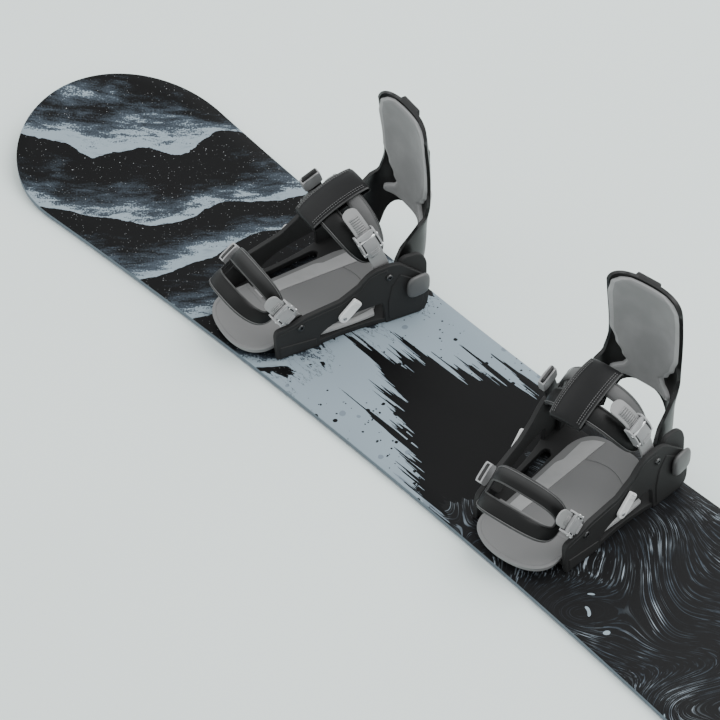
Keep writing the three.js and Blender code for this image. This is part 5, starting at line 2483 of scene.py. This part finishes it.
def toe_lining(strap: Strap) -> list[Piece]:
    """The thin lining behind the left end of the toe strap's window, with a sewn edge.

    Args:
        strap: The toe strap.

    Returns:
        The lining and its threads.
    """
    ring = strap.ring
    run = (ring.centre + ring.half_run - 30.0, ring.centre + ring.half_run - 9.0)
    wide = (ring.shift - ring.half_width + 9.0, ring.shift + ring.half_width - 9.0)
    panel = rounded_bar(run, wide, (-0.9, 0.9), 4.0, 44)
    arch = strap.over()
    line = [((run[0] + run[1]) / 2 + (run[1] - run[0] - 4.0) / 2 * power(math.cos(a), 0.5),
             (wide[0] + wide[1]) / 2 + (wide[1] - wide[0] - 4.0) / 2 * power(math.sin(a), 0.5), 1.1)
            for a in (math.tau * k / 90 for k in range(91))]
    return [
        Piece("toe_lining", refine("lining", arch.over(panel), 0.4, 2), Finish.SLEEVE, "toe", "strap_fabric"),
        Piece("toe_lining_threads", refine("threads", arch.over(stitches(line, 2.0, 3.2, 0.28))),
              Finish.THREAD, "toe", "strap_fabric"),
    ]


@dataclass
class Binding:
    """One style of binding, made once and fitted at each stance."""

    parts: list[Piece] = field(default_factory=list)

    def make(self) -> None:
        """Make the meshes of every sub-assembly."""
        ankle, toe = ankle_strap(), toe_strap()
        self.parts += Baseplate().pieces()
        self.parts += Highback().pieces()
        self.parts += ankle.pieces()
        self.parts += AnkleSleeve(ankle.over(), ankle.arch.length / 2).pieces()
        self.parts.append(link_clip(ankle, 58.0, 80.0, ("ankle_link_clip",)))
        self.parts.append(link_clip(toe, 34.0, 50.0))
        self.parts += toe.pieces()
        self.parts += toe_lining(toe)
        log.info("made %d pieces of a binding", len(self.parts))

    def fit(self, stance: Stance, fitter: Fitter) -> None:
        """Set every piece at a stance.

        Args:
            stance: Where the binding stands.
            fitter: Sets the pieces on the frame.
        """
        placement = stance.placement()
        side = stance.name
        for part in self.parts:
            nodes = [f"{side}_{node}" for node in part.stands_for]
            fitter.fit(f"{side}_{part.name}_look", part.mesh, part.finish, f"{side}_{part.body}", part.slot,
                       nodes, placement, part.fill)
        fitter.dress(f"{side}_mounting_disc", Finish.DISC)
        fitter.dress(f"{side}_disc_screws", Finish.SCREW)


# ---------------------------------------------------------------- studio


@dataclass
class Studio:
    """A pale floor under wide soft lights, and the camera."""

    camera_at: Point3 = (2.3528, -2.1893, 3.2258)
    look_at: Point3 = (-0.1286, -0.0166, 0.0)
    lens: float = 185.3
    floor_color: tuple[float, float, float, float] = linear(240, 250, 247)
    floor_half: float = 12.0
    sky: tuple[float, float, float, float] = (0.93, 0.96, 0.97, 1.0)
    sky_strength: float = 1.06
    lamps: tuple[tuple[str, Point3, float, float], ...] = (
        ("key_light", (0.9, 1.6, 3.4), 3.2, 104.0),
        ("fill_light", (-2.6, -1.2, 2.6), 3.0, 22.0),
        ("rim_light", (-1.2, 2.6, 1.2), 1.6, 10.0),
    )

    def build(self) -> None:
        """Set up the world, the floor, the lights and the camera."""
        scene = bpy.context.scene
        world = bpy.data.worlds.new("soft_room")
        world.use_nodes = True
        backdrop = world.node_tree.nodes["Background"]
        backdrop.inputs["Color"].default_value = self.sky
        backdrop.inputs["Strength"].default_value = self.sky_strength
        scene.world = world
        self.floor()
        for lamp in self.lamps:
            self.light(*lamp)
        data = bpy.data.cameras.new("camera")
        data.lens, data.sensor_width = self.lens, 36.0
        data.clip_end = 50.0
        camera = bpy.data.objects.new("camera", data)
        scene.collection.objects.link(camera)
        camera.location = self.camera_at
        aim = Vector(self.look_at) - Vector(self.camera_at)
        camera.rotation_euler = aim.to_track_quat("-Z", "Y").to_euler()
        scene.camera = camera
        log.info("studio ready")

    def floor(self) -> None:
        """Lay a wide pale floor."""
        mesh = bpy.data.meshes.new("floor")
        half = self.floor_half
        corners = [(-half, -half, 0), (half, -half, 0), (half, half, 0), (-half, half, 0)]
        mesh.from_pydata(corners, [], [(0, 1, 2, 3)])
        floor = bpy.data.objects.new("floor", mesh)
        bpy.context.scene.collection.objects.link(floor)
        material, g, shader = new_material("pale_floor")
        shade = g.ramp(g.noise(g.here(), 1.4, 2.0), 0.3, 0.7, 0.985, 1.015)
        g.feed(shader.inputs["Base Color"], tinted(g, self.floor_color, shade))
        shader.inputs["Roughness"].default_value = 0.85
        shader.inputs["Specular IOR Level"].default_value = 0.2
        mesh.materials.append(material)

    @staticmethod
    def light(name: str, at: Point3, size: float, energy: float) -> None:
        """Hang one wide square light that faces the board.

        Args:
            name: Name of the light.
            at: Where it hangs.
            size: Side of its square.
            energy: Its power.
        """
        data = bpy.data.lights.new(name, "AREA")
        data.size, data.energy = size, energy
        lamp = bpy.data.objects.new(name, data)
        bpy.context.scene.collection.objects.link(lamp)
        lamp.location = at
        lamp.rotation_euler = (-Vector(at)).to_track_quat("-Z", "Y").to_euler()


def main() -> None:
    """Dress the frame and set up the studio."""
    logging.basicConfig(level=logging.INFO, format="%(name)s: %(message)s")
    fitter = Fitter()
    Board().build(fitter)
    binding = Binding()
    binding.make()
    for side in ("front", "rear"):
        binding.fit(Stance(side), fitter)
    Studio().build()
    log.info("fitted %d pieces", len(fitter.fitted))


if __name__ == "__main__":
    main()
